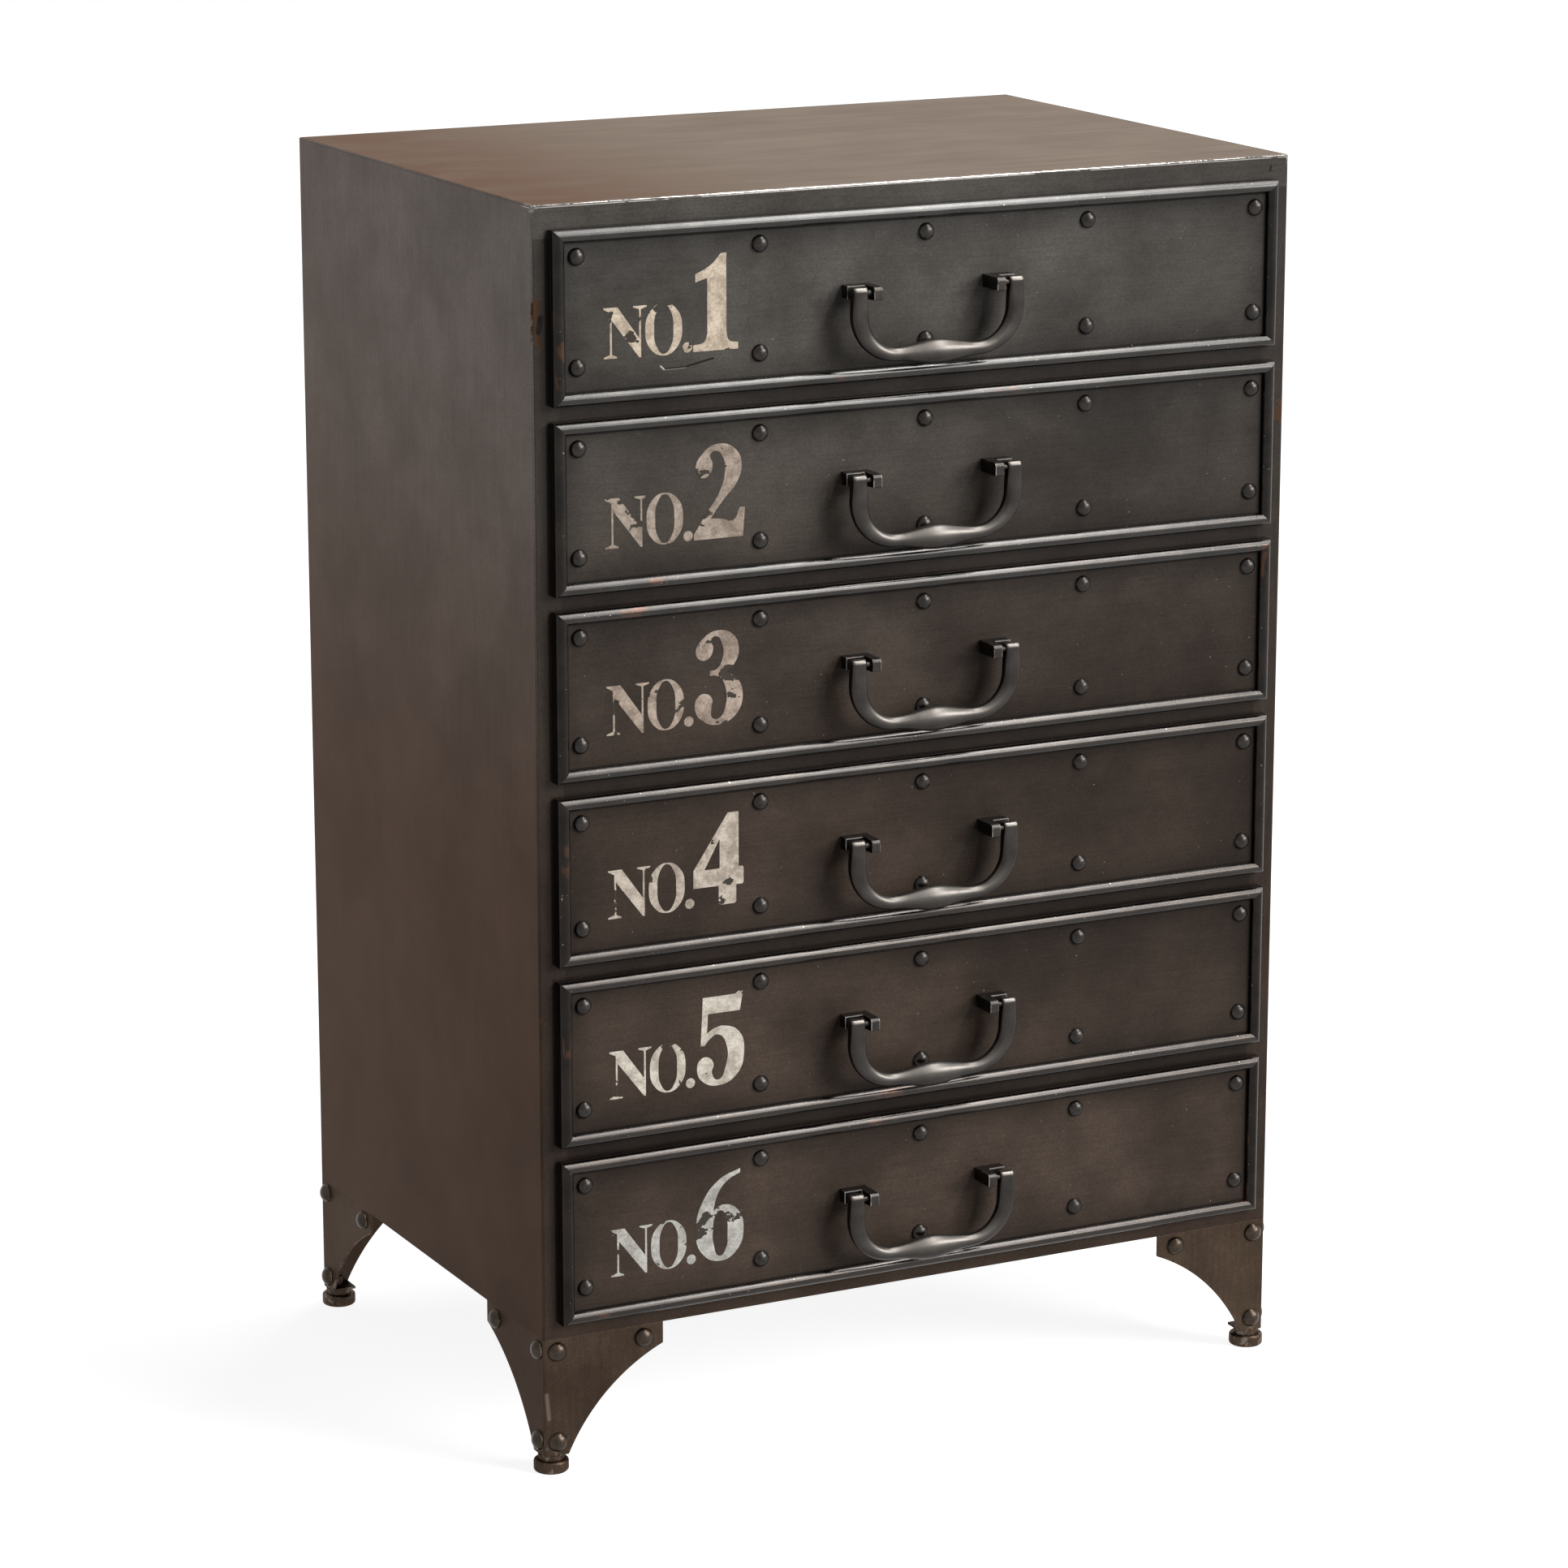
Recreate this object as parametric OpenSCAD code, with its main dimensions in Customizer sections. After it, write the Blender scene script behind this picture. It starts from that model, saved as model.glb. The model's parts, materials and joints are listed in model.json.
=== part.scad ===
// Six drawer sheet steel cabinet on angle legs.
// X runs to the right, Y to the back and Z up. All sizes are in millimetres.
// The pieces are drawn with the case's front face at y = 0 and the floor at z = 0,
// then the whole is moved back to front so that the origin is under its middle.

/* [Case] */
// Width over the side panels
case_w = 600; // [560:5:680]
// Depth from the front face to the back face
case_d = 416; // [390:2:470]
// Thickness of the case's sheet
case_sheet = 1; // [0.8:0.1:1.4]
// Thickness of the back panel's sheet
back_sheet = 0.8; // [0.6:0.1:1.2]
// Outside radius of the folded corners
corner_r = 2; // [1.7:0.1:3]
// Case showing above the top drawer
top_reveal = 17; // [14:1:24]
// Case showing below the bottom drawer
base_reveal = 11; // [9:1:16]
// Case showing beside the drawers
side_reveal = 12.5; // [10:0.5:18]
// Width of the flanges at the back of the side panels
back_flange_w = 15; // [10:1:25]

/* [Rails and runners] */
// Depth of the rails' top flange
rail_flange = 12; // [8:1:16]
// Thickness of the runners' sheet
runner_sheet = 1.2; // [1:0.1:2]
// How far a runner reaches under a tray
runner_reach = 10; // [6:1:16]
// Height of the runners' web, fixed to the side panel
runner_web = 14; // [10:1:15]
// Height of the guide strips
guide_h = 10; // [6:1:14]
// Width of the guide strips' foot
guide_foot = 12; // [8:1:14]
// Distance from the stiles to the guide strips' front ends
guide_setback = 2; // [0:1:20]

/* [Legs] */
// Height of the legs' sheet
leg_h = 88; // [75:1:110]
// Thickness of the legs' sheet
leg_sheet = 2; // [1.6:0.2:3]
// Width of a leg's flange seen from the front
leg_front_w = 94; // [80:1:110]
// Width of a leg's flange seen from the side
leg_side_w = 99; // [80:1:115]
// Height of the straight band at the top of a leg
leg_band = 16; // [13:1:22]
// Width of a leg's flange at the ankle
ankle_w = 19; // [18:0.5:24]
// How far the concave curve bows from a straight line
leg_bow = 9.7; // [6:0.1:13]
// Side of the plate under the case
leg_plate = 72; // [50:2:78]

/* [Feet] */
// Diameter of the glide
foot_d = 25.4; // [23.6:0.2:30]
// Height of the glide's rim
foot_rim_h = 9; // [7:0.5:12]
// Radius of the rim's edges
foot_edge_r = 2; // [1:0.1:2]
// Diameter of the collar on the glide
collar_d = 19; // [14:0.5:21]
// Height of the collar
collar_h = 4; // [2:0.5:6]
// Diameter of the stud
stud_d = 6; // [5:0.5:7]
// Length of the stud above the collar
stud_l = 9; // [6:1:14]
// Distance from the case's faces to the foot's axis
foot_inset = 9; // [8.5:0.1:11]

/* [Drawer fronts] */
// Height of a drawer front
front_h = 121; // [112:1:135]
// Gap between two drawer fronts
front_gap = 10.8; // [8:0.2:14]
// Thickness of the drawer fronts' sheet
front_sheet = 1; // [0.8:0.1:1.4]
// Depth of a drawer front over its turned edge
front_rim = 4.4; // [4:0.1:6]
// Gap between a closed front and the case
front_clear = 0.6; // [0.4:0.1:1]
// How far a front laps over the rails
lap = 6; // [4:0.5:8]
// How far a front laps over the stiles
side_lap = 7.5; // [5:0.5:9]
// Width of the bead
bead_w = 9; // [7:0.5:11]
// Height of the bead
bead_h = 5; // [5:0.1:6.5]

/* [Trays] */
// Thickness of the trays' sheet
tray_sheet = 0.8; // [0.6:0.1:1.2]
// Gap between a tray and the stile on each side
tray_side_clear = 2; // [1.5:0.1:3]
// Gap between a tray's top edge and the rail above
tray_top_clear = 3; // [2:0.5:6]
// Gap behind a closed tray
tray_back_clear = 10; // [5:1:30]
// Gap between a tray and its runner
run_clear = 0.3; // [0.2:0.1:0.5]
// Gap between a tray and its guide strip
guide_clear = 1; // [0.6:0.1:1.4]
// Depth of the hem at the top edge of a tray's sides and back
hem_h = 8; // [5:1:12]
// How far a drawer pulls out
slide_travel = 300; // [240:5:330]
// Length of a stop tab
tab_l = 14; // [10:1:30]
// Gap between a stop tab and what is above it
tab_head_clear = 1.6; // [1:0.1:3]
// Gap between a stop tab and the rail at full travel
stop_clear = 0.5; // [0.3:0.1:1]

/* [Rivets] */
// Diameter of the drawer rivets' heads
rivet_d = 12; // [10:0.5:14]
// Height of the drawer rivets' heads
rivet_h = 4.2; // [3:0.1:5]
// Diameter of the drawer rivets' shanks
rivet_shank = 5; // [4:0.5:6]
// Drop from a front's top edge to the upper rivets
rivet_drop = 19; // [17:0.5:24]
// Rise from a front's bottom edge to the lower rivets
rivet_rise = 26; // [20:0.5:32]
// Distance between the rivets near the middle
rivet_pitch = 130; // [110:1:140]
// Distance from a front's end to the outer rivets
rivet_end = 18.5; // [16.5:0.5:24]
// Diameter of the leg rivets' heads
leg_rivet_d = 14.5; // [11:0.5:16]
// Height of the leg rivets' heads
leg_rivet_h = 5; // [3:0.1:6]
// Diameter of the leg rivets' shanks
leg_rivet_shank = 6; // [5:0.5:7]
// Distance from the case's bottom edge to the upper leg rivets
leg_rivet_drop = 9.5; // [8:0.5:12]
// Distance from the corner to the near leg rivets
leg_rivet_in = 10.5; // [9.5:0.5:11.5]
// Distance from a flange's free edge to the far leg rivets
leg_rivet_edge = 15.5; // [12:0.5:20]
// Distance from the ankle's end to the lowest leg rivets
leg_rivet_up = 10.5; // [9.5:0.5:14]

/* [Handles] */
// Distance between the middles of a handle's arms
bail_w = 123.6; // [110:0.2:140]
// Drop from the pins to the middle of the grip
bail_drop = 44.8; // [42:0.2:50]
// Radius of the handle's lower corners
bail_corner_r = 29.5; // [24:0.5:34]
// Width of the arms at the pins
arm_w = 11; // [10:0.5:13]
// Width of the arms where they start to curve
arm_low_w = 13; // [11:0.5:15]
// Thickness of the arms from front to back
arm_t = 7; // [6:0.5:8]
// Height of the handle's neck
neck_h = 9.8; // [8:0.2:12]
// Thickness of the neck from front to back
neck_t = 8.6; // [7:0.2:10]
// Height of the grip
grip_h = 17; // [13:0.5:19]
// Thickness of the grip from front to back
grip_t = 14; // [11:0.5:16]
// Diameter of the eye round the pin
eye_d = 8; // [7.6:0.2:10]
// How far a handle lifts, in degrees
bail_swing = 90; // [60:5:100]
// Drop from a front's top edge to the pins
pivot_drop = 56; // [50:1:60]
// Distance from a front's face to the pins
pivot_reach = 17.5; // [15.5:0.5:22]

/* [Brackets and pins] */
// Gap between a bracket's ear and the arm
ear_gap = 4; // [1:0.5:5]
// Width of an ear
ear_w = 7; // [6:0.5:9]
// How far an ear reaches past the pin
ear_past = 4.5; // [4:0.5:6]
// Depth of a bracket's base
bracket_base = 8.5; // [6:0.5:9]
// Height of a bracket above its pin
bracket_up = 4.2; // [4:0.1:6]
// Height of a bracket below its pin
bracket_down = 5.4; // [4.5:0.1:8]
// Radius of the ear's upper front edge
ear_r = 3; // [1:0.5:3.5]
// Radius of the ear's lower front edge
ear_low_r = 1.2; // [0.5:0.1:2]
// Diameter of a bracket's spigot
spigot_d = 6; // [5:0.5:7]
// Diameter of the pins
pin_d = 4; // [3:0.5:4]
// Gap between a pin and its hole, on the radius
pin_clear = 0.05; // [0.02:0.01:0.1]
// Wall left at the outer end of the blind hole in the eye
eye_wall = 1; // [0.6:0.1:2]
// Gap at the inner end of the pin
pin_end_gap = 0.4; // [0.2:0.1:1]

/* [Hidden] */
$fn = 48;
cut = 1;
drawer_count = 6;
hole_clear = 0.05;
seam = 0.1;
tail_h = 1.5;
tail_over = 2;
bar_sections = 12;
corner_steps = 6;

case_h = top_reveal + base_reveal + drawer_count * front_h + (drawer_count - 1) * front_gap;
foot_h = foot_rim_h + collar_h;
case_z = leg_h + foot_h;
total_h = case_z + case_h;
front_w = case_w - 2 * side_reveal;
opening_w = front_w - 2 * side_lap;
stile_w = side_reveal + side_lap;
top_rim = top_reveal + lap;
bottom_rim = base_reveal + lap;
rail_h = front_gap + 2 * lap;
inner_w = case_w - 2 * case_sheet;
back_inner_y = case_d - case_sheet - back_sheet;

panel_y = -front_clear - front_rim;
tray_front_y = panel_y + front_sheet;
tray_back_y = back_inner_y - tray_back_clear;
tray_w = opening_w - 2 * tray_side_clear;
tray_lift = runner_sheet + run_clear;
tray_hem = 2 * tray_sheet;
tab_y = case_sheet + slide_travel + stop_clear;
tab_room = min(rail_h, top_rim) - case_sheet - tab_head_clear;
riveted_sheet = front_sheet + tray_sheet;

pivot_y = panel_y - pivot_reach;
arm_in = (bail_w - arm_w) / 2;
ear_out = arm_in - ear_gap;
ear_in = ear_out - ear_w;
base_out = arm_in + arm_w - eye_wall;
spigot_x = (ear_out + base_out) / 2;
pin_out = arm_in + arm_w - eye_wall - pin_end_gap;

// The handles reach furthest forward and the leg rivets furthest back.
front_reach = pivot_y - grip_t / 2;
back_reach = case_d + leg_rivet_h;
mid_y = (front_reach + back_reach) / 2;

function front_top(n) = total_h - top_reveal - (n - 1) * (front_h + front_gap);
function front_bottom(n) = front_top(n) - front_h;
function opening_top(n) = front_top(n) - lap;
function opening_bottom(n) = front_bottom(n) + lap;
function tray_bottom(n) = opening_bottom(n) + tray_lift;
function tray_top(n) = opening_top(n) - tray_top_clear;
function tab_top(n) = opening_top(n) + tab_room;
function runner_top(n) = tray_bottom(n) - run_clear;
function pivot_z(n) = front_top(n) - pivot_drop;

DRAWER_PIECES = ["tray", "front", "bead", "rivets", "brackets", "pins", "handle"];

// ---- Shared shapes ----

// Points of an arc about (x, y), from angle a to angle b.
function arc(x, y, r, a, b, steps = corner_steps) =
    [for (i = [0 : steps]) let (t = a + (b - a) * i / steps) [x + r * cos(t), y + r * sin(t)]];

// Points of a rectangle with all its corners rounded, counted anticlockwise.
function rounded_rectangle(x0, y0, x1, y1, r) = concat(
    arc(x1 - r, y0 + r, r, -90, 0),
    arc(x1 - r, y1 - r, r, 0, 90),
    arc(x0 + r, y1 - r, r, 90, 180),
    arc(x0 + r, y0 + r, r, 180, 270)
);

// Moves a piece from the drawing position to the part's own frame.
module placed() {
    translate([0, -mid_y, 0]) children();
}

module block(low, high) {
    translate(low) cube(high - low);
}

// An outline in Y and Z, given as [y, z] points, extruded from x0 to x1.
module side_outline(points, x0, x1) {
    translate([x0, 0, 0])
        rotate([90, 0, 90])
            linear_extrude(x1 - x0) polygon(points);
}

// An outline in X and Z, given as [x, z] points, extruded from y0 to y1.
module front_outline(points, y0, y1) {
    translate([0, y1, 0])
        rotate([90, 0, 0])
            linear_extrude(y1 - y0) polygon(points);
}

module plan_outline(points, z0, z1) {
    translate([0, 0, z0])
        linear_extrude(z1 - z0) polygon(points);
}

module cylinder_x(x0, x1, y, z, r) {
    translate([x0, y, z]) rotate([0, 90, 0]) cylinder(h = x1 - x0, r = r);
}

module cylinder_y(x, y0, y1, z, r) {
    translate([x, y1, z]) rotate([90, 0, 0]) cylinder(h = y1 - y0, r = r);
}

// A round head rivet. Its head stands on z = 0 and its shank goes down through the grip.
module rivet(head_d, head_h, shank_d, grip) {
    head_r = head_d / 2;
    dome_r = (head_r * head_r + head_h * head_h) / (2 * head_h);
    union() {
        intersection() {
            translate([0, 0, head_h - dome_r]) sphere(r = dome_r, $fn = 96);
            cylinder(h = head_h + cut, r = head_r + cut);
        }
        translate([0, 0, -grip]) cylinder(h = grip, r = shank_d / 2);
        translate([0, 0, -grip - tail_h]) cylinder(h = tail_h, r = shank_d / 2 + tail_over);
    }
}

// ---- Case ----

// A tray-shaped panel with its rim turned to one side: up is 1 for a rim above the plate.
module case_pan(rim, up) {
    z_low = up > 0 ? 0 : -rim;
    z_high = up > 0 ? rim : 0;
    difference() {
        plan_outline(rounded_rectangle(-case_w / 2, 0, case_w / 2, case_d, corner_r), z_low, z_high);
        block([-inner_w / 2, case_sheet, up > 0 ? case_sheet : -rim - cut],
              [inner_w / 2, case_d - case_sheet, up > 0 ? rim + cut : -case_sheet]);
    }
}

module top_panel() {
    edge_z = total_h - 2 * top_rim;
    side_edge = rounded_rectangle(0, edge_z, case_d, total_h, corner_r);
    front_edge = rounded_rectangle(-case_w / 2, edge_z, case_w / 2, total_h, corner_r);
    color("dimgray")
        intersection() {
            translate([0, 0, total_h]) case_pan(top_rim, -1);
            side_outline(side_edge, -case_w, case_w);
            front_outline(front_edge, -case_d, 2 * case_d);
        }
}

module bottom_panel() {
    color("dimgray") translate([0, 0, case_z]) case_pan(bottom_rim, 1);
}

// The right side panel: a wall with the stile folded in at the front and a flange at the back.
module side_panel() {
    outside = case_w / 2;
    inside = inner_w / 2;
    outline = concat(
        [[outside - stile_w, 0]],
        arc(outside - corner_r, corner_r, corner_r, -90, 0),
        arc(outside - corner_r, case_d - corner_r, corner_r, 0, 90),
        [[outside - back_flange_w, case_d], [outside - back_flange_w, case_d - case_sheet]],
        [[inside, case_d - case_sheet], [inside, case_sheet], [outside - stile_w, case_sheet]]
    );
    plan_outline(outline, case_z + bottom_rim, total_h - top_rim);
}

module right_side_panel() {
    color("#4f4a47") side_panel();
}

module left_side_panel() {
    color("#4f4a47") mirror([1, 0, 0]) side_panel();
}

module back_panel() {
    color("#454140")
        block([-inner_w / 2, back_inner_y, case_z + case_sheet],
              [inner_w / 2, back_inner_y + back_sheet, total_h - case_sheet]);
}

// The rail above the drawer opening n, with a flange turned back under the tray above.
module front_rail(n) {
    z0 = opening_top(n);
    z1 = z0 + rail_h;
    outline = [
        [0, z0], [case_sheet, z0], [case_sheet, z1 - case_sheet],
        [rail_flange, z1 - case_sheet], [rail_flange, z1], [0, z1]
    ];
    side_outline(outline, -opening_w / 2, opening_w / 2);
}

module front_rails() {
    color("dimgray")
        for (n = [2 : drawer_count]) front_rail(n);
}

// ---- Runners and guides ----

// The right runner of drawer n: a shelf under the tray and a web on the side panel.
module runner(n) {
    z1 = runner_top(n);
    z0 = z1 - runner_sheet;
    x_in = tray_w / 2 - runner_reach;
    x_out = inner_w / 2;
    outline = [
        [x_in, z0], [x_out - runner_sheet, z0], [x_out - runner_sheet, z1 - runner_web],
        [x_out, z1 - runner_web], [x_out, z1], [x_in, z1]
    ];
    front_outline(outline, case_sheet, back_inner_y);
}

module right_runners() {
    color("silver")
        for (n = [1 : drawer_count]) runner(n);
}

module left_runners() {
    color("silver")
        mirror([1, 0, 0])
            for (n = [1 : drawer_count]) runner(n);
}

// The right guide strip of drawer n: an angle that stands on the runner beside the tray.
module guide(n) {
    z0 = runner_top(n);
    x_in = tray_w / 2 + guide_clear;
    outline = [
        [x_in, z0], [x_in + guide_foot, z0], [x_in + guide_foot, z0 + case_sheet],
        [x_in + case_sheet, z0 + case_sheet], [x_in + case_sheet, z0 + guide_h], [x_in, z0 + guide_h]
    ];
    front_outline(outline, case_sheet + guide_setback, back_inner_y);
}

module drawer_guides() {
    color("silver")
        for (n = [1 : drawer_count]) {
            guide(n);
            mirror([1, 0, 0]) guide(n);
        }
}

// ---- Legs and feet ----

// Points of a leg flange with its corner at (0, 0): band at the top, then a concave curve.
function leg_outline(width) =
    let (
        from = [width, -leg_band],
        to = [ankle_w, -leg_h],
        chord = norm(to - from),
        r = (chord * chord / 4 + leg_bow * leg_bow) / (2 * leg_bow),
        along = (to - from) / chord,
        inward = [along[1], -along[0]],
        centre = (from + to) / 2 - inward * (r - leg_bow),
        a = atan2(from[1] - centre[1], from[0] - centre[0]),
        b = atan2(to[1] - centre[1], to[0] - centre[0])
    )
    concat([[0, 0], [width, 0]], arc(centre[0], centre[1], r, a, b, 24), [[0, -leg_h]]);

// Places the leg rivets and their holes. Each child points out of the flange along -Y.
module on_leg_flange(width) {
    for (spot = [
        [leg_rivet_in, -leg_rivet_drop],
        [width - leg_rivet_edge, -leg_rivet_drop],
        [leg_rivet_in, leg_rivet_up - leg_h]
    ])
        translate([spot[0], 0, spot[1]]) rotate([90, 0, 0]) children();
}

module on_leg_flanges() {
    on_leg_flange(leg_front_w) children();
    mirror([1, -1, 0]) on_leg_flange(leg_side_w) children();
}

// A leg with its outer corner at the origin, reaching along +X and +Y, top at z = 0.
module leg() {
    plate = [[0, 0], [leg_plate, 0], [leg_plate, leg_sheet], [leg_sheet, leg_plate], [0, leg_plate]];
    corner = concat(
        arc(corner_r, corner_r, corner_r, 180, 270),
        [[leg_front_w, 0], [leg_front_w, leg_side_w], [0, leg_side_w]]
    );
    difference() {
        intersection() {
            union() {
                front_outline(leg_outline(leg_front_w), 0, leg_sheet);
                side_outline(leg_outline(leg_side_w), 0, leg_sheet);
                plan_outline(plate, -leg_sheet, 0);
                block([0, 0, -leg_h], [ankle_w, ankle_w, leg_sheet - leg_h]);
            }
            plan_outline(corner, -leg_h, 0);
        }
        on_leg_flanges() translate([0, 0, -leg_sheet - cut])
            cylinder(h = leg_sheet + 2 * cut, r = leg_rivet_shank / 2 + hole_clear);
        translate([foot_inset, foot_inset, -leg_h - cut])
            cylinder(h = leg_sheet + 2 * cut, r = stud_d / 2 + hole_clear);
    }
}

// Puts what is drawn for the front left corner at a corner: right and back are 0 or 1.
module at_corner(right, back) {
    translate([0, back * case_d, case_z])
        mirror([0, back, 0])
            mirror([right, 0, 0])
                translate([-case_w / 2, 0, 0]) children();
}

module leg_at(right, back) {
    color("#463f39") at_corner(right, back) leg();
}

module leg_rivets() {
    color("#3d3835")
        for (right = [0, 1], back = [0, 1])
            at_corner(right, back)
                on_leg_flanges() rivet(leg_rivet_d, leg_rivet_h, leg_rivet_shank, leg_sheet);
}

// A glide with its collar and stud. The plate across the ankle rests on the collar.
module foot() {
    edge = foot_edge_r;
    profile = concat(
        [[0, 0]],
        arc(foot_d / 2 - edge, edge, edge, -90, 0),
        arc(foot_d / 2 - edge, foot_rim_h - edge, edge, 0, 90),
        [[collar_d / 2, foot_rim_h], [collar_d / 2, foot_h], [stud_d / 2, foot_h]],
        [[stud_d / 2, foot_h + stud_l], [0, foot_h + stud_l]]
    );
    translate([foot_inset, foot_inset, -case_z]) rotate_extrude() polygon(profile);
}

module foot_at(right, back) {
    color("#3a3531") at_corner(right, back) foot();
}

// ---- Drawers ----

// Places the children at the rivets of drawer n, pointing out of the front along -Y.
module on_drawer_front(n) {
    end_x = front_w / 2 - rivet_end;
    for (x = [-end_x, -rivet_pitch, 0, rivet_pitch, end_x])
        for (z = [front_top(n) - rivet_drop, front_bottom(n) + rivet_rise])
            translate([x, panel_y, z]) rotate([90, 0, 0]) children();
}

// The holes that the rivets and the brackets' spigots go through.
module front_holes(n) {
    on_drawer_front(n) translate([0, 0, -riveted_sheet - cut])
        cylinder(h = riveted_sheet + 2 * cut, r = rivet_shank / 2 + hole_clear);
    for (side = [-1, 1])
        cylinder_y(side * spigot_x, panel_y - cut, panel_y + riveted_sheet + cut, pivot_z(n),
                   spigot_d / 2 + hole_clear);
}

// The right side wall of a tray, with its hem and its stop tab.
module tray_side(n, z0) {
    outer = tray_w / 2;
    inner = outer - tray_sheet;
    z1 = tray_top(n);
    wall = [
        [inner, z0], [outer, z0], [outer, z1], [outer - tray_hem, z1],
        [outer - tray_hem, z1 - hem_h], [inner, z1 - hem_h]
    ];
    front_outline(wall, tray_front_y + tray_sheet + seam, tray_back_y - tray_sheet - seam);
    block([inner, tab_y, z1 - hem_h], [outer, tab_y + tab_l, tab_top(n)]);
}

// A tray of five sheets, welded edge to edge.
module drawer_tray(n) {
    outer = tray_w / 2;
    hem_end = outer - tray_hem - seam;
    z0 = tray_bottom(n);
    z1 = tray_top(n);
    wall_z = z0 + tray_sheet + seam;
    color("#5c5855") {
        block([-outer, tray_front_y, z0], [outer, tray_back_y, z0 + tray_sheet]);
        difference() {
            block([-outer, tray_front_y, wall_z], [outer, tray_front_y + tray_sheet, z1]);
            front_holes(n);
        }
        block([-outer, tray_back_y - tray_sheet, wall_z], [outer, tray_back_y, z1]);
        block([-hem_end, tray_back_y - tray_hem, z1 - hem_h], [hem_end, tray_back_y, z1]);
        tray_side(n, wall_z);
        mirror([1, 0, 0]) tray_side(n, wall_z);
    }
}

module drawer_front(n) {
    outer = front_w / 2;
    color("#4b4845")
        difference() {
            block([-outer, panel_y, front_bottom(n)], [outer, -front_clear, front_top(n)]);
            block([-outer + front_sheet, tray_front_y, front_bottom(n) + front_sheet],
                  [outer - front_sheet, cut, front_top(n) - front_sheet]);
            front_holes(n);
        }
}

// A half-round bar on the front's lower edge, mitred at both ends.
module bead_bar(length, height) {
    r = bead_w / 2;
    intersection() {
        union() {
            block([-length / 2, r - bead_h, 0], [length / 2, 0, bead_w]);
            cylinder_x(-length / 2, length / 2, r - bead_h, r, r);
        }
        front_outline([[-length / 2, 0], [length / 2, 0], [0, length / 2]], -bead_h - cut, 0);
        block([-length / 2, -bead_h, 0], [length / 2, 0, height / 2]);
    }
}

module drawer_bead(n) {
    middle_z = (front_top(n) + front_bottom(n)) / 2;
    color("#6d6863")
        translate([0, panel_y, middle_z])
            for (turn = [0, 90, 180, 270]) {
                along_x = turn % 180 == 0;
                length = along_x ? front_w : front_h;
                height = along_x ? front_h : front_w;
                rotate([0, turn, 0]) translate([0, 0, -height / 2]) bead_bar(length, height);
            }
}

module drawer_rivets(n) {
    color("#3d3a38")
        on_drawer_front(n) rivet(rivet_d, rivet_h, rivet_shank, riveted_sheet);
}

// ---- Handles ----

// The right bracket: a base behind the arm, an ear on the arm's inner side and a spigot.
module bracket(n) {
    z0 = -bracket_down;
    z1 = bracket_up;
    tip = pivot_y - ear_past;
    base_y = panel_y - bracket_base;
    ear = concat(
        [[panel_y, z0]],
        [[panel_y, z1]],
        arc(tip + ear_r, z1 - ear_r, ear_r, 90, 180),
        arc(tip + ear_low_r, z0 + ear_low_r, ear_low_r, 180, 270)
    );
    base = concat(
        [[panel_y, z0], [panel_y, z1]],
        arc(base_y + ear_low_r, z1 - ear_low_r, ear_low_r, 90, 180),
        arc(base_y + ear_low_r, z0 + ear_low_r, ear_low_r, 180, 270)
    );
    translate([0, 0, pivot_z(n)])
        difference() {
            union() {
                side_outline(ear, ear_in, ear_out);
                side_outline(base, ear_in, base_out);
                cylinder_y(spigot_x, panel_y - cut, panel_y + riveted_sheet, 0, spigot_d / 2);
                cylinder_y(spigot_x, panel_y + riveted_sheet, panel_y + riveted_sheet + tail_h, 0,
                           spigot_d / 2 + tail_over);
            }
            cylinder_x(ear_in - cut, ear_out + cut, pivot_y, 0, pin_d / 2);
        }
}

module drawer_brackets(n) {
    color("#55524e") {
        bracket(n);
        mirror([1, 0, 0]) bracket(n);
    }
}

module drawer_pins(n) {
    color("silver") {
        cylinder_x(ear_in, pin_out, pivot_y, pivot_z(n), pin_d / 2);
        cylinder_x(-pin_out, -ear_in, pivot_y, pivot_z(n), pin_d / 2);
    }
}

// The handle's middle line runs down an arm, round a corner and along the grip.
bail_straight = bail_drop - bail_corner_r;
bail_half_grip = bail_w / 2 - bail_corner_r;
arm_rings = 3;
turn_rings = 8;
grip_rings = 9;

// One ring of the handle: [x, z, direction angle, height across, thickness, squareness].
function arm_ring(t) = [
    bail_w / 2, -t * bail_straight, 0,
    arm_w + (arm_low_w - arm_w) * t, arm_t, 4
];
function turn_ring(t) = [
    bail_half_grip + bail_corner_r * cos(90 * t), -bail_straight - bail_corner_r * sin(90 * t), 90 * t,
    arm_low_w + (neck_h - arm_low_w) * smooth(t), arm_t + (neck_t - arm_t) * smooth(t),
    4 - 2 * smooth(t)
];
function grip_ring(t) = [
    bail_half_grip * (1 - t), -bail_drop, 90,
    neck_h + (grip_h - neck_h) * smooth(t), neck_t + (grip_t - neck_t) * smooth(t), 2
];
function smooth(t) = t * t * (3 - 2 * t);

bail_half = concat(
    [for (i = [0 : arm_rings - 1]) arm_ring(i / arm_rings)],
    [for (i = [0 : turn_rings - 1]) turn_ring(i / turn_rings)],
    [for (i = [0 : grip_rings - 1]) grip_ring(i / grip_rings)]
);
bail_rings = concat(
    bail_half,
    [grip_ring(1)],
    [for (i = [len(bail_half) - 1 : -1 : 0]) let (g = bail_half[i]) [-g[0], g[1], 180 - g[2], g[3], g[4], g[5]]]
);

function power(v, p) = sign(v) * pow(abs(v), p);

// Points of one ring, as a rounded rectangle across the middle line.
function ring_points(g) = [
    for (i = [0 : bar_sections - 1]) let (
        a = 360 * i / bar_sections,
        u = g[3] / 2 * power(cos(a), 2 / g[5]),
        v = g[4] / 2 * power(sin(a), 2 / g[5])
    ) [g[0] + u * cos(g[2]), v, g[1] - u * sin(g[2])]
];

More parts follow.
